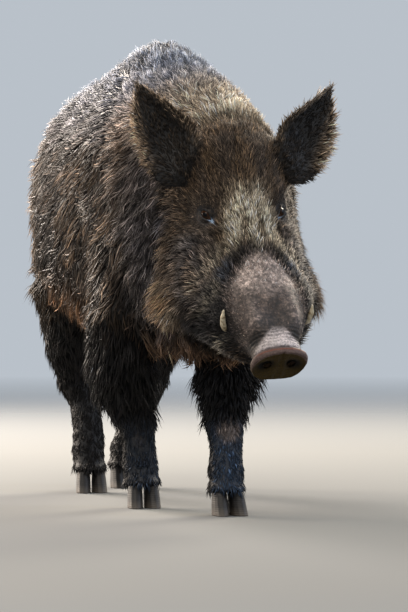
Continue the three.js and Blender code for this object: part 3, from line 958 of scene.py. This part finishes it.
def layColours():
    # the markings, with pale rims on the ears and a painted cold sheen of the sky down the fronts of
    # the shins
    root, tip = markings(skinPoints, skinRegion)
    fringed = np.clip(earRim * 1.3, 0, 1) * (0.35 + 0.65 * outerEar)
    tip = mixed(tip, "fringe", fringed * isRegion("ear"))
    # painted sheen: the sky's cold light down the fronts of the shins, full on the left foreleg and at
    # less than half on the right
    shins = isRegion("thigh", "shank") * (1 - rise(skinPoints[:, 2] / boxTop, 0.15, 0.22))
    shins = shins * (skinPoints[:, 1] < 0) * rise(-skinNormals[:, 1], 0.1, 0.8)
    shins = shins * (0.45 + 0.55 * (skinPoints[:, 0] > 0))
    tip = mixed(tip, "sheen", shins * (1 - 0.9 * kneePatches(skinPoints)))
    return spread(root, skinEdges, 4), spread(tip, skinEdges, 4)


earRim, outerEar = rimOfEar()
lieField = layLie()
sizeField = layLengths()
coverField = layCover()
rootField, tipField = layColours()
print("the lie of the hair is laid")


# the coat: thin closed tufts, each a tapering ridge that follows the lie

coatSettings = {
    "sink": 0.0010,  # root below the skin
    "lengthSpread": 0.28,
    "girth": (0.80, 1.0, 0.72),  # share of the width at each bend
    "ridge": 0.34,  # thickness as a share of the width
    "droop": 0.30,  # how much of the lift is lost towards the tip
    "patch": 0.003,  # of the unwrap, for one tuft
}

# for each kind of hair: tufts in a lock, how far their tips are drawn together, sideways sway as
# a share of the length, spread of directions in radians, swirl of the lie, spread of shades, and
# the share of the tufts with much paler tips
coatStyles = {
    "short": {"lock": 8, "pull": 0.35, "wave": 0.04, "turn": 0.20, "swirl": 0.15, "shade": 0.62,
              "pale": 0.22},
    "long": {"lock": 21, "pull": 0.74, "wave": 0.12, "turn": 0.20, "swirl": 0.35, "shade": 0.75,
             "pale": 0.13},
    "leg": {"lock": 14, "pull": 0.45, "wave": 0.04, "turn": 0.16, "swirl": 0.10, "shade": 0.45,
            "pale": 0.05},
}

# for each pair of pieces: their regions, the number of tufts on the left and on the right, the
# bends in each tuft, its kind of hair and its slot
coatPairs = {
    "face": {"regions": ("head", "jaw"), "tufts": (19800, 19800), "bends": 1, "kind": "short",
             "slot": "coat"},
    "brow": {"regions": ("head",), "tufts": (7000, 7000), "bends": 1, "kind": "short",
             "slot": "coat"},
    "ear": {"regions": ("ear",), "tufts": (4500, 4500), "bends": 1, "kind": "short",
            "slot": "dark_coat"},
    "neck": {"regions": ("neck",), "tufts": (11000, 12400), "bends": 2, "kind": "long",
             "slot": "coat"},
    "trunk": {"regions": ("trunk", "tail"), "tufts": (8500, 11000), "bends": 2, "kind": "long",
              "slot": "coat"},
    "legs": {"regions": ("thigh", "shank"), "tufts": (9000, 9000), "bends": 1, "kind": "leg",
             "slot": "dark_coat"},
}


def browShare():
    # the brow pieces thicken the short hair from the bare bridge up to the crown
    ahead, aside, over = bothSides(skinHead)
    upper = rise(-ahead, -0.30, -0.18) * (1 - rise(-over, 0.15, 0.3))
    return upper * (1 - rise(aside, 0.30, 0.40))


skinMesh.calc_loop_triangles()
skinCorners = readField(skinMesh.loop_triangles, "vertices", 3, np.int32)


def sowRoots(part, side, count, rng):
    # tuft roots spread over a piece's share of the skin, as corners and their weights
    share = isRegion(*coatPairs[part]["regions"])
    if part == "brow":
        share = share * browShare()
    leftward = skinHead[:, 1] if part in ("face", "brow", "ear") else skinPoints[:, 0]
    mine = (share * (leftward * sides[side] > 0))[skinCorners[:, 0]]
    a, b, c = (skinPoints[skinCorners[:, i]] for i in range(3))
    area = np.linalg.norm(np.cross(b - a, c - a), axis=1) / 2
    length, width = sizeField[skinCorners, 0].mean(axis=1), sizeField[skinCorners, 1].mean(axis=1)
    total = np.cumsum(mine * area * coverField[skinCorners].mean(axis=1) / (length * width) ** 0.7)
    marks = (np.arange(count) + rng.random(count)) / count * total[-1]
    faces = np.searchsorted(total, marks)
    first, second = np.sqrt(rng.random(count)), rng.random(count)
    weights = np.stack([1 - first, first * (1 - second), first * second], axis=1)
    return skinCorners[faces], weights


def atRoots(values, corners, weights):
    return np.einsum("nk,nk...->n...", weights, values[corners])


def lockOf(roots, size, rng):
    # the middle of the lock that each tuft belongs to
    centres = rng.choice(len(roots), max(len(roots) // size, 1), replace=False)
    tree = KDTree(len(centres))
    for i, centre in enumerate(centres):
        tree.insert(roots[centre], i)
    tree.balance()
    return centres[[tree.find(root)[1] for root in roots.tolist()]]


def unwrapOf(part, side, roots):
    # a place on the skin's own unwrap, from 0 to 1, one cell to each leg or face of an ear
    x, y, z = roots.T
    if part in ("face", "brow"):
        head = inHead(roots)
        flat = [np.arctan2(head[:, 1], head[:, 2] + 0.2), head[:, 0]]
    elif part == "ear":
        height, width, out = inEar(roots, side)
        flat = [width + (out < 0) * 0.4, height]
    elif part == "legs":
        foreleg, hindleg = (middleOf(f"{leg}_{side}_lower") for leg in ("foreleg", "hindleg"))
        front = y < 0
        near = np.where(front[:, None], foreleg, hindleg)
        flat = [np.arctan2(x - near[:, 0], y - near[:, 1]) + front * 7, z]
    else:
        flat = [np.arctan2(x, z - boxTop * 0.6), y]
    flat = np.stack(flat, axis=1)
    low, high = flat.min(axis=0), flat.max(axis=0)
    return (flat - low) / (high - low) * (1 - coatSettings["patch"])


def speckle(points):
    # dark and light specks on the bare bridge
    fine = 0.85 * mottle(points, 0.0032, 9) + 0.35 * mottle(points, 0.009, 10)
    return fine * snoutBare(inHead(points))


def tuftFrame(along, side):
    along = unit(along)
    side = unit(side - along * np.sum(side * along, axis=1)[:, None])
    return along, side, np.cross(along, side)


def tuftFaces(bends):
    # the triangles of one tuft: its root, the walls between its rings, and its tip
    walls = ((0, 1), (1, 2), (2, 0))
    faces = [(0, 2, 1)]
    for low in range(0, bends * 3, 3):
        for a, b in walls:
            faces += [(low + a, low + b, low + 3 + b), (low + a, low + 3 + b, low + 3 + a)]
    last = bends * 3
    return np.array(faces + [(last + a, last + b, last + 3) for a, b in walls])


def tuftMesh(name, points, faces):
    # one mesh of closed tufts; each row of points is a tuft, and all have the same faces
    count, perTuft = points.shape[:2]
    loops = (np.arange(count)[:, None, None] * perTuft + faces).ravel()
    mesh = bpy.data.meshes.new(name)
    mesh.vertices.add(count * perTuft)
    mesh.vertices.foreach_set("co", points.ravel())
    mesh.loops.add(len(loops))
    mesh.loops.foreach_set("vertex_index", loops)
    mesh.polygons.add(count * len(faces))
    mesh.polygons.foreach_set("loop_start", np.arange(count * len(faces)) * 3)
    mesh.update(calc_edges=True)
    mesh.shade_smooth()
    return mesh


def growCoat(part, side):
    make, settings = coatSettings, coatPairs[part]
    kind, bends = coatStyles[settings["kind"]], settings["bends"]
    half = list(sides).index(side)
    count = settings["tufts"][half]
    rng = np.random.default_rng(2 * list(coatPairs).index(part) + half + 1)
    corners, weights = sowRoots(part, side, count, rng)
    normals = unit(atRoots(skinNormals, corners, weights))
    roots = atRoots(skinPoints, corners, weights) - normals * make["sink"]
    lies = atRoots(lieField, corners, weights)
    length, width, lift = atRoots(sizeField, corners, weights).T
    lock = lockOf(roots, kind["lock"], rng)
    ownLock = rng.normal(size=(count, 3))[lock]

    # each lock leans its own way, and each tuft a little off its lock
    swing = kind["turn"] * (0.9 * ownLock[:, 0] + 0.8 * rng.normal(size=count))
    swing += kind["swirl"] * mottle(roots, 0.07, 11)
    across = unit(np.cross(normals, lies))
    lies = unit(lies * np.cos(swing)[:, None] + across * np.sin(swing)[:, None])
    lies, across, _ = tuftFrame(lies, across)
    longer = np.clip(0.5 * ownLock[:, 1] + 0.7 * rng.normal(size=count), -1.8, 1.3)
    length = length * np.exp(make["lengthSpread"] * longer - 0.03)
    width = width * (0.75 + 0.5 * rng.random(count))
    stand = np.clip(rng.normal(size=count), -1.7, 1.7)
    lift = np.radians(np.clip(lift + 6 * stand + 4 * ownLock[:, 2], 3, 75))
    phase = 3 * ownLock[:, 0] + 0.5 * rng.normal(size=count)
    pull = kind["pull"] * np.clip(0.75 + 0.30 * ownLock[:, 2], 0.3, 1.1)

    def centreAt(t):
        out = np.sin(lift) * t * (1 - make["droop"] * t)
        sway = kind["wave"] * t * np.sin(phase + t * 5.0)
        path = lies * (np.cos(lift) * t)[:, None] + normals * out[:, None] + across * sway[:, None]
        gathered = (roots[lock] - roots) * (pull * t ** 1.4)[:, None]
        return roots + path * length[:, None] + gathered

    # three points round the tuft at each step, and one at its tip
    steps = np.linspace(0, 1, bends + 2)
    centres = [centreAt(t) for t in steps]
    rings = []
    for i, girth in enumerate(make["girth"][:bends + 1]):
        _, aside, ridge = tuftFrame(centres[i + 1] - centres[max(i - 1, 0)], across)
        aside = aside * (width * girth / 2)[:, None]
        ridge = ridge * (width * girth * make["ridge"])[:, None]
        rings += [centres[i] - aside, centres[i] + aside, centres[i] + ridge]
    points = np.stack(rings + [centres[-1]], axis=1)
    perTuft = points.shape[1]
    name, faces = f"coat_{part}_{side}", tuftFaces(bends)
    mesh = tuftMesh(name, points, faces)

    # where each point lies along and across its tuft, and the tuft's colours
    alongTuft = np.append(np.repeat(steps[:-1], 3), 1.0)
    acrossTuft = np.append(np.tile([-1.0, 1.0, 0.0], bends + 1), 0.0)
    # tufts that stand higher are painted paler, painted light on the raised tips; the rest is each
    # lock's and tuft's own tone
    shade = kind["shade"] * (0.55 * ownLock[:, 1] + 0.6 * rng.normal(size=count) + 0.35 * stand)
    shade = shade + speckle(roots)
    pale = rng.random(count) < kind["pale"]
    rootColour = atRoots(rootField, corners, weights) * np.exp(shade * 0.5)[:, None]
    tipColour = atRoots(tipField, corners, weights) * np.exp(shade + pale * 0.9 - 0.1)[:, None]
    giveColour(mesh, "rootColour", np.repeat(rootColour, perTuft, axis=0))
    giveColour(mesh, "tipColour", np.repeat(tipColour, perTuft, axis=0))
    giveValue(mesh, "along", np.tile(alongTuft, count))
    giveValue(mesh, "across", np.tile(acrossTuft, count))
    giveValue(mesh, "tuft", np.repeat(rng.random(count), perTuft))

    patch = np.stack([(acrossTuft + 1) / 2, alongTuft], axis=1)[faces.ravel()] * make["patch"]
    unwrap = unwrapOf(part, side, roots)[:, None, :] + patch
    mesh.uv_layers.new(name="OFBake").data.foreach_set("uv", unwrap.ravel())
    coat = bpy.data.objects.new(name, mesh)
    scene.collection.objects.link(coat)
    return coat


coats = {part: [growCoat(part, side) for side in sides] for part in coatPairs}
triangleCount = sum(len(coat.data.polygons) for pair in coats.values() for coat in pair)
print("the coat is grown:", triangleCount, "triangles")


# the eyes

ballSettings = {
    "segments": 48,
    "rings": 40,
    "cornea": 0.055,  # how far the clear front bulges, as a share of the radius
    "corneaEdge": 0.84,  # cosine of the angle at its edge
}


def makeEye(side):
    bpy.ops.mesh.primitive_uv_sphere_add(segments=ballSettings["segments"],
                                         ring_count=ballSettings["rings"], radius=eyeRadius)
    eye = bpy.context.object
    eye.name = f"eyeball_{side}"
    gaze, corner, _ = eyeAxes(side)
    points = pointsOf(eye.data)
    front = rise(points[:, 2] / eyeRadius, ballSettings["corneaEdge"], 1.0)
    points *= (1 + ballSettings["cornea"] * front)[:, None]
    turned = points @ np.stack([corner, np.cross(gaze, corner), gaze])
    setPoints(eye.data, turned + eyeMiddle[side])
    along, across, out, _ = inEye(pointsOf(eye.data), side)
    behind = np.where(out < 0, 1.0, 0.0)
    giveValue(eye.data, "fromPupil", np.hypot(along * 0.80, across * 1.15) + behind)
    giveValue(eye.data, "fromMiddle", np.hypot(along, across) + behind)
    return smoothShaded(eye)


eyes = {side: makeEye(side) for side in sides}
print("the eyes are made")


# the nose disc, with its rim and nostrils

discSettings = {
    "voxel": 0.0011,
    "smoothing": 14,
    "rim": 0.0026,  # how far the rim stands out
    "rimAt": 0.95,  # of the way out to the edge
    "lip": 0.06,  # how much taller the rim is at the top
    "taper": 1.15,  # how much longer the lower half is drawn before it is flattened
    "flatFrom": 0.8,  # of the way down, where the lower edge begins to flatten
    "flatTo": 0.95,
    "nostril": (0.50, 0.02),  # aside and over, as shares of the half sizes
    "nostrilSize": (0.30, 0.31),
    "nostrilLean": 0.35,
    "nostrilDepth": 0.0055,
    "groove": 0.0016,
    "ridges": 0.0014,  # on both sides of the groove
    "grain": 0.00035,
}


def discAxes():
    # the middle of the disc, its directions aside, over and out, and its half sizes along them
    points = pointsOf(nodes["nose_disc"].data)
    middle = middleOf("nose_disc")
    outward = np.linalg.svd(points - points.mean(axis=0), full_matrices=False)[2][2]
    outward = outward * np.sign(outward @ headAhead)
    aside = unit(headLeft - outward * (headLeft @ outward))
    over = np.cross(outward, aside)
    axes = np.stack([aside, over * np.sign(over @ headOver), outward], axis=1)
    return middle, axes, np.abs((points - middle) @ axes).max(axis=0)


def nostrilAt(across, over):
    # 1 in the middle of a nostril, 0 away from both
    near = np.zeros(len(across))
    for sign in sides.values():
        aside = (across - discSettings["nostril"][0] * sign) / discSettings["nostrilSize"][0]
        above = (over - discSettings["nostril"][1]) / discSettings["nostrilSize"][1]
        lean = aside + discSettings["nostrilLean"] * above * sign
        near = np.maximum(near, np.exp(-(np.hypot(lean, above) ** 2.6)))
    return near


def flatBelow(over):
    # how far up or down each point moves, so that the lower edge is a flatter arc
    low = np.maximum(-over, 0) * discSettings["taper"]
    start, end = discSettings["flatFrom"], discSettings["flatTo"]
    slack = end - start
    flat = np.where(low < start, low, end - slack * np.exp(-np.maximum(low - start, 0) / slack))
    return np.minimum(over, 0) * -1 - flat


def makeDisc():
    disc = copiesJoined(["nose_disc"], "snout_disc")
    withModifier(disc, "REMESH", mode="VOXEL", voxel_size=discSettings["voxel"])
    withModifier(disc, "SMOOTH", iterations=discSettings["smoothing"], factor=0.5)
    middle, axes, half = discAxes()
    points = pointsOf(disc.data)
    across, over, out = ((points - middle) @ axes / half).T
    points += axes[:, 1] * (flatBelow(over) * half[1])[:, None]
    facing = rise(normalsOf(disc.data) @ axes[:, 2], 0.2, 0.8)
    front = rise(out, -0.2, 0.3)
    radius = np.hypot(across, over)
    nostrils = nostrilAt(across, over)
    edge = hump(radius, discSettings["rimAt"], 0.08) * (0.6 + 0.4 * rise(over, -0.6, 0.6))
    groove = hump(across, 0, 0.05) * rise(over, -0.2, 0.3)
    ridges = hump(np.abs(across), 0.16, 0.08) * (1 - rise(radius, 0.7, 0.9))
    relief = discSettings["rim"] * edge
    relief += discSettings["ridges"] * ridges - discSettings["groove"] * groove
    relief -= discSettings["nostrilDepth"] * nostrils
    relief += discSettings["grain"] * mottle(points, 0.004, 5)
    setPoints(disc.data, points + axes[:, 2] * (relief * facing)[:, None])
    inner = np.hypot(across, (over + discSettings["lip"]) / (1 - discSettings["lip"]))
    face = np.maximum(facing, front * (1 - rise(radius, 0.6, 0.75)))
    giveValue(disc.data, "nostril", np.clip(nostrils * 1.3, 0, 1) * front)
    giveValue(disc.data, "face", face * (1 - rise(inner, 0.88, 0.97)))
    giveValue(disc.data, "over", over)
    giveValue(disc.data, "redEdge", 0.8 * hump(out, 0.05, 0.16) * rise(over, 0.35, 0.8))
    return smoothShaded(disc)


disc = makeDisc()
print("the nose disc is made")


# tusks, claws and dewclaws: rounded copies of their solids, with their materials

hornSettings = {
    "tusk": {"voxel": 0.0007, "smoothing": 10, "kept": 0.6, "wears": ("ivory", "ivory")},
    "claw": {"voxel": 0.0015, "smoothing": 10, "kept": 0.35, "wears": ("claw", "horn")},
    "dewclaw": {"voxel": 0.0010, "smoothing": 8, "kept": 0.35, "wears": ("claw", "horn")},
}


def makeHorn(kind):
    settings = hornSettings[kind]
    made = []
    for node in [n for n in nodes if n.startswith(kind)]:
        piece = copiesJoined([node], node + "_round")
        withModifier(piece, "REMESH", mode="VOXEL", voxel_size=settings["voxel"])
        withModifier(piece, "SMOOTH", iterations=settings["smoothing"], factor=0.5)
        withModifier(piece, "DECIMATE", ratio=settings["kept"])
        made.append(smoothShaded(piece))
    return made


horns = {kind: makeHorn(kind) for kind in hornSettings}
print("the tusks and claws are made")


# materials

def colourRamp(tree, factor, stops):
    ramp = addNode(tree, "ShaderNodeValToRGB", {"Fac": factor})
    elements = ramp.color_ramp.elements
    while len(elements) < len(stops):
        elements.new(0.5)
    for element, (place, hexColour) in zip(elements, stops):
        element.position = place
        element.color = opaque(hexColour)
    return ramp.outputs["Color"]


def attributeOf(tree, name, output="Fac"):
    return addNode(tree, "ShaderNodeAttribute", attribute_name=name).outputs[output]


def placeOf(tree):
    return addNode(tree, "ShaderNodeTexCoord").outputs["Object"]


def spanOf(tree, value, low, high, toLow=0.0, toHigh=1.0):
    settings = {"Value": value, "From Min": low, "From Max": high, "To Min": toLow, "To Max": toHigh}
    return addNode(tree, "ShaderNodeMapRange", settings).outputs["Result"]


def mixColours(tree, factor, first, second, blend="MIX"):
    links = {0: factor, 6: first, 7: second}  # the sockets of colour mixing
    mix = addNode(tree, "ShaderNodeMix", links, data_type="RGBA", blend_type=blend)
    return mix.outputs[2]


def noiseOf(tree, vector, scale, detail=3.0):
    links = {"Vector": vector, "Scale": scale, "Detail": detail}
    return addNode(tree, "ShaderNodeTexNoise", links).outputs["Fac"]


def cellsOf(tree, vector, scale):
    links = {"Vector": vector, "Scale": scale}
    return addNode(tree, "ShaderNodeTexVoronoi", links).outputs["Distance"]


def mathOf(tree, operation, first, second):
    return addNode(tree, "ShaderNodeMath", {0: first, 1: second}, operation=operation).outputs[0]


def greyOf(tree, value):
    links = {"Red": value, "Green": value, "Blue": value}
    return addNode(tree, "ShaderNodeCombineColor", links).outputs[0]


def bumpOf(tree, height, distance, strength=1.0):
    links = {"Height": height, "Distance": distance, "Strength": strength}
    return addNode(tree, "ShaderNodeBump", links).outputs["Normal"]


def surfaced(material, settings):
    # ends a material in one shader
    tree = material.node_tree
    finishMaterial(tree, addNode(tree, "ShaderNodeBsdfPrincipled", settings))
    return material


def coatMaterial():
    # coarse bristle: dark at the root, paler and a little glossy towards the tip
    material, tree = newMaterial("bristle")
    along = attributeOf(tree, "along")
    rootColour = attributeOf(tree, "rootColour", "Color")
    tipColour = attributeOf(tree, "tipColour", "Color")
    colour = mixColours(tree, spanOf(tree, along, 0.15, 0.85), rootColour, tipColour)
    links = {"X": attributeOf(tree, "across"), "Y": along, "Z": attributeOf(tree, "tuft")}
    place = addNode(tree, "ShaderNodeCombineXYZ", links).outputs[0]
    spaced = addNode(tree, "ShaderNodeVectorMath", {0: place, 1: (2.6, 1.1, 60.0)},
                     operation="MULTIPLY").outputs[0]
    strands = noiseOf(tree, spaced, 1.6, 2.0)
    light = greyOf(tree, spanOf(tree, strands, 0.3, 0.7, 0.55, 1.45))
    return surfaced(material, {
        "Base Color": mixColours(tree, 1.0, colour, light, "MULTIPLY"),
        "Roughness": 0.60,
        "Specular IOR Level": 0.26,
        "Normal": bumpOf(tree, strands, 0.0006, 0.5),
    })


def hideMaterial():
    # the skin: bare and pored on the snout, wrinkled behind the disc, wet at the eyes' corners
    material, tree = newMaterial("hide")
    place = placeOf(tree)
    grain = noiseOf(tree, place, 260.0, 4.0)
    shade = spanOf(tree, grain, 0.3, 0.7, 0.50, 1.45)
    broad = spanOf(tree, noiseOf(tree, place, 45.0), 0.3, 0.7, 0.75, 1.20)
    tint = greyOf(tree, mathOf(tree, "MULTIPLY", shade, broad))
    colour = mixColours(tree, 1.0, attributeOf(tree, "skinColour", "Color"), tint, "MULTIPLY")
    height = mathOf(tree, "ADD", cellsOf(tree, place, 620.0), grain)
    return surfaced(material, {
        "Base Color": colour,
        "Roughness": spanOf(tree, attributeOf(tree, "wet"), 0, 1, 0.62, 0.12),
        "Normal": bumpOf(tree, height, 0.0009, 0.6),
    })


def eyeMaterial():
    # a wet ball: dark brown iris round an oval pupil, darker brown towards the corners
    material, tree = newMaterial("wet eye")
    iris = colourRamp(tree, attributeOf(tree, "fromPupil"), [
        (0.0, "#020202"), (0.22, "#030202"), (0.26, "#180e08"), (0.40, "#352010"),
        (0.52, "#1a0e08"), (0.60, "#0a0705")])
    white = colourRamp(tree, attributeOf(tree, "fromMiddle"), [
        (0.0, "#000000"), (0.58, "#000000"), (0.64, "#ffffff")])
    streaks = noiseOf(tree, placeOf(tree), 900.0)
    around = colourRamp(tree, streaks, [(0.3, "#3b2620"), (0.7, "#57402f")])
    return surfaced(material, {
        "Base Color": mixColours(tree, white, iris, around),
        "Roughness": 0.16,
        "Specular IOR Level": 0.12,
    })


def discMaterial():
    # bare, moist and leathery: olive brown in front, a reddish line inside the paler rim
    material, tree = newMaterial("moist leather")
    place = placeOf(tree)
    grain = noiseOf(tree, place, 420.0, 4.0)
    rim = colourRamp(tree, grain, [(0.3, "#453733"), (0.7, "#6f5d57")])
    front = colourRamp(tree, grain, [(0.3, "#211806"), (0.7, "#46360f")])
    face = attributeOf(tree, "face")
    line = colourRamp(tree, face, [
        (0.0, "#000000"), (0.16, "#000000"), (0.3, "#aaaaaa"), (0.45, "#000000")])
    underside = spanOf(tree, attributeOf(tree, "over"), 0.10, -0.45)
    colour = mixColours(tree, spanOf(tree, face, 0.25, 0.9), rim, front)
    colour = mixColours(tree, line, colour, opaque("#5d3a2c"))
    colour = mixColours(tree, underside, colour, front)
    colour = mixColours(tree, attributeOf(tree, "redEdge"), colour, opaque("#7a4434"))
    colour = mixColours(tree, attributeOf(tree, "nostril"), colour, opaque("#0b0806"))
    height = mathOf(tree, "ADD", grain, cellsOf(tree, place, 520.0))
    return surfaced(material, {
        "Base Color": colour,
        "Roughness": spanOf(tree, grain, 0.3, 0.7, 0.42, 0.6),
        "Specular IOR Level": 0.12,
        "Normal": bumpOf(tree, height, 0.0007, 0.6),
    })


def ivoryMaterial():
    # worn tooth: cream, with fine stains
    material, tree = newMaterial("ivory")
    place = placeOf(tree)
    stains = noiseOf(tree, place, 130.0, 4.0)
    return surfaced(material, {
        "Base Color": colourRamp(tree, stains, [
            (0.30, "#6e583e"), (0.46, "#bcab8c"), (0.70, "#e2d7bf")]),
        "Roughness": 0.28,
        "Normal": bumpOf(tree, noiseOf(tree, place, 700.0), 0.0003, 0.4),
    })


def clawMaterial():
    # dark horn with growth rings, scuffed paler at the sole
    material, tree = newMaterial("horn")
    place = placeOf(tree)
    height = addNode(tree, "ShaderNodeSeparateXYZ", {0: place}).outputs["Z"]
    links = {"Vector": place, "Scale": 75.0, "Distortion": 2.5, "Detail": 2.0}
    rings = addNode(tree, "ShaderNodeTexWave", links, bands_direction="Z").outputs["Fac"]
    grain = noiseOf(tree, place, 320.0, 4.0)
    colour = colourRamp(tree, grain, [(0.3, "#151210"), (0.7, "#2b2622")])
    scuffed = spanOf(tree, height, 0.0, 0.018, 0.55, 0.0)
    return surfaced(material, {
        "Base Color": mixColours(tree, scuffed, colour, opaque("#6b6054")),
        "Roughness": 0.6,
        "Normal": bumpOf(tree, mathOf(tree, "ADD", rings, grain), 0.0004, 0.5),
    })


def paintSkin():
    # the skin shows between the tufts in their own colours, darkened, and bare on the snout, with
    # painted shade in the snout's hollows and wrinkles and a painted shadow of the brow above each eye
    ahead, aside, over = bothSides(skinHead)
    isHead = isRegion("head", "jaw")
    bare = isHead * snoutBare(skinHead)
    neckWidth = 0.035 + 0.8 * np.maximum(ahead - 0.83, 0)
    neckOfSnout = rise(ahead, 0.81, 0.87) * rise(over, -0.02, 0.06)
    neckOfSnout = neckOfSnout * (1 - rise(aside, neckWidth * 0.8, neckWidth * 1.4))
    beside = hump(aside, neckWidth * 1.1 + 0.05, 0.04) * hump(ahead, 0.87, 0.07)
    underSnout = rise(ahead, 0.62, 0.8) * (1 - rise(over, -0.1, 0.02))
    colour = rootField + (tipField - rootField) * 0.22
    colour += (tipField - colour) * (bare * 0.85)[:, None]
    colour *= np.exp(1.5 * speckle(skinPoints) * isHead)[:, None]
    # painted shade in the hollows beside the neck of the snout
    colour = mixed(colour, "under", isHead * beside * rise(over, -0.1, 0.0) * 0.8)
    colour = mixed(colour, "snout", isHead * neckOfSnout)
    # painted shade in the troughs of the wrinkles behind the disc
    colour *= (1 + 0.28 * np.minimum(snoutFolds(skinHead), 0) * isHead)[:, None]
    colour = mixed(colour, "charcoal", isHead * underSnout * 0.7)
    wet = np.zeros(len(skinPoints))
    for side in sides:
        along, across, out, distance = inEye(skinPoints, side)
        around = (1 - rise(distance, eyeRadius + 0.006, eyeRadius + 0.012)) * rise(out, 0.0, 0.2)
        margin = around * openness(along * 0.86, across * 0.80)
        trough = np.clip(1.3 * tearTrough(skinPoints, side), 0, 1)
        colour = painted(colour, [
            ("lid", np.maximum(around, bareRound(skinPoints, side))),
            # painted shadow of the brow: the upper side round each eye darkened towards black
            ("black", around * rise(across, 0.25, 0.50) * 0.6),
            ("black", margin * 0.9),
            # painted reflection of the sky in the wet trough
            ("skyInTear", trough),
        ], 1)
        wet = np.maximum(wet, np.clip(margin * 0.3 + trough, 0, 1))
    giveColour(skinMesh, "skinColour", colour)
    giveValue(skinMesh, "wet", wet)


paintSkin()
materials = {"coat": coatMaterial(), "hide": hideMaterial(), "eye": eyeMaterial(),
             "disc": discMaterial(), "ivory": ivoryMaterial(), "claw": clawMaterial()}


def dress(piece, material, slot, replaced=()):
    piece.data.materials.clear()
    piece.data.materials.append(materials[material])
    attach(piece, "root")
    if replaced:
        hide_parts(*replaced)


dress(skin, "hide", "coat", fleshNodes)
for part, pair in coats.items():
    for coat in pair:
        dress(coat, "coat", coatPairs[part]["slot"])
for side, eye in eyes.items():
    dress(eye, "eye", "eye", [f"eye_{side}"])
dress(disc, "disc", "nose", ["nose_disc"])
for kind, made in horns.items():
    for piece in made:
        dress(piece, *hornSettings[kind]["wears"], [piece.name.removesuffix("_round")])
print("the materials are on")


# floor, light and background

studio = {
    "floor": "#767776",
    "world": "#dfe8f2",
    "worldStrength": 0.66,
    "floorRadius": 9.0,
    # each light: azimuth and height in degrees, distance, size, power and colour
    "lights": {
        "key": (-35, 55, 5.0, 3.0, 135, "#fff3e2"),
        "back": (-141, 19, 5.0, 2.2, 400, "#ffeedb"),
        "rim": (-163, 20, 5.0, 1.6, 480, "#fff2e6"),
        "edge": (135, 32, 5.0, 1.8, 300, "#fff2dd"),
        "side": (72, 28, 5.0, 2.0, 70, "#dfeaff"),
    },
}


def makeFloor():
    bpy.ops.mesh.primitive_circle_add(vertices=96, radius=studio["floorRadius"], fill_type="TRIFAN")
    floor = bpy.context.object
    floor.name = "floor"
    material, tree = newMaterial("pale floor")
    away = addNode(tree, "ShaderNodeVectorMath", {0: placeOf(tree)},
                   operation="LENGTH").outputs["Value"]
    surface = addNode(tree, "ShaderNodeBsdfPrincipled", {
        "Base Color": opaque(studio["floor"]), "Roughness": 0.9, "Specular IOR Level": 0.05})
    clear = addNode(tree, "ShaderNodeBsdfTransparent")
    fade = spanOf(tree, away, 2.0, studio["floorRadius"] * 0.95)
    blend = addNode(tree, "ShaderNodeMixShader", {0: fade, 1: surface.outputs[0],
                                                  2: clear.outputs[0]})
    finishMaterial(tree, blend)
    floor.data.materials.append(material)


def makeLights():
    target = Vector((0, 0, boxTop * 0.5))
    for name, (azimuth, height, distance, size, power, colour) in studio["lights"].items():
        data = bpy.data.lights.new(name, "AREA")
        data.shape = "DISK"
        data.size = size
        data.energy = power
        data.color = linear(colour)
        light = bpy.data.objects.new(name, data)
        a, e = math.radians(azimuth), math.radians(height)
        back = Vector((math.sin(a) * math.cos(e), -math.cos(a) * math.cos(e), math.sin(e)))
        light.location = target + back * distance
        light.rotation_euler = (-back).to_track_quat("-Z", "Y").to_euler()
        light.visible_camera = False
        scene.collection.objects.link(light)


def makeWorld():
    world = bpy.data.worlds.new("studio")
    world.use_nodes = True
    background = world.node_tree.nodes["Background"]
    background.inputs["Color"].default_value = opaque(studio["world"])
    background.inputs["Strength"].default_value = studio["worldStrength"]
    scene.world = world


makeFloor()
makeLights()
makeWorld()
scene.view_settings.view_transform = "Standard"
print("the studio is ready")
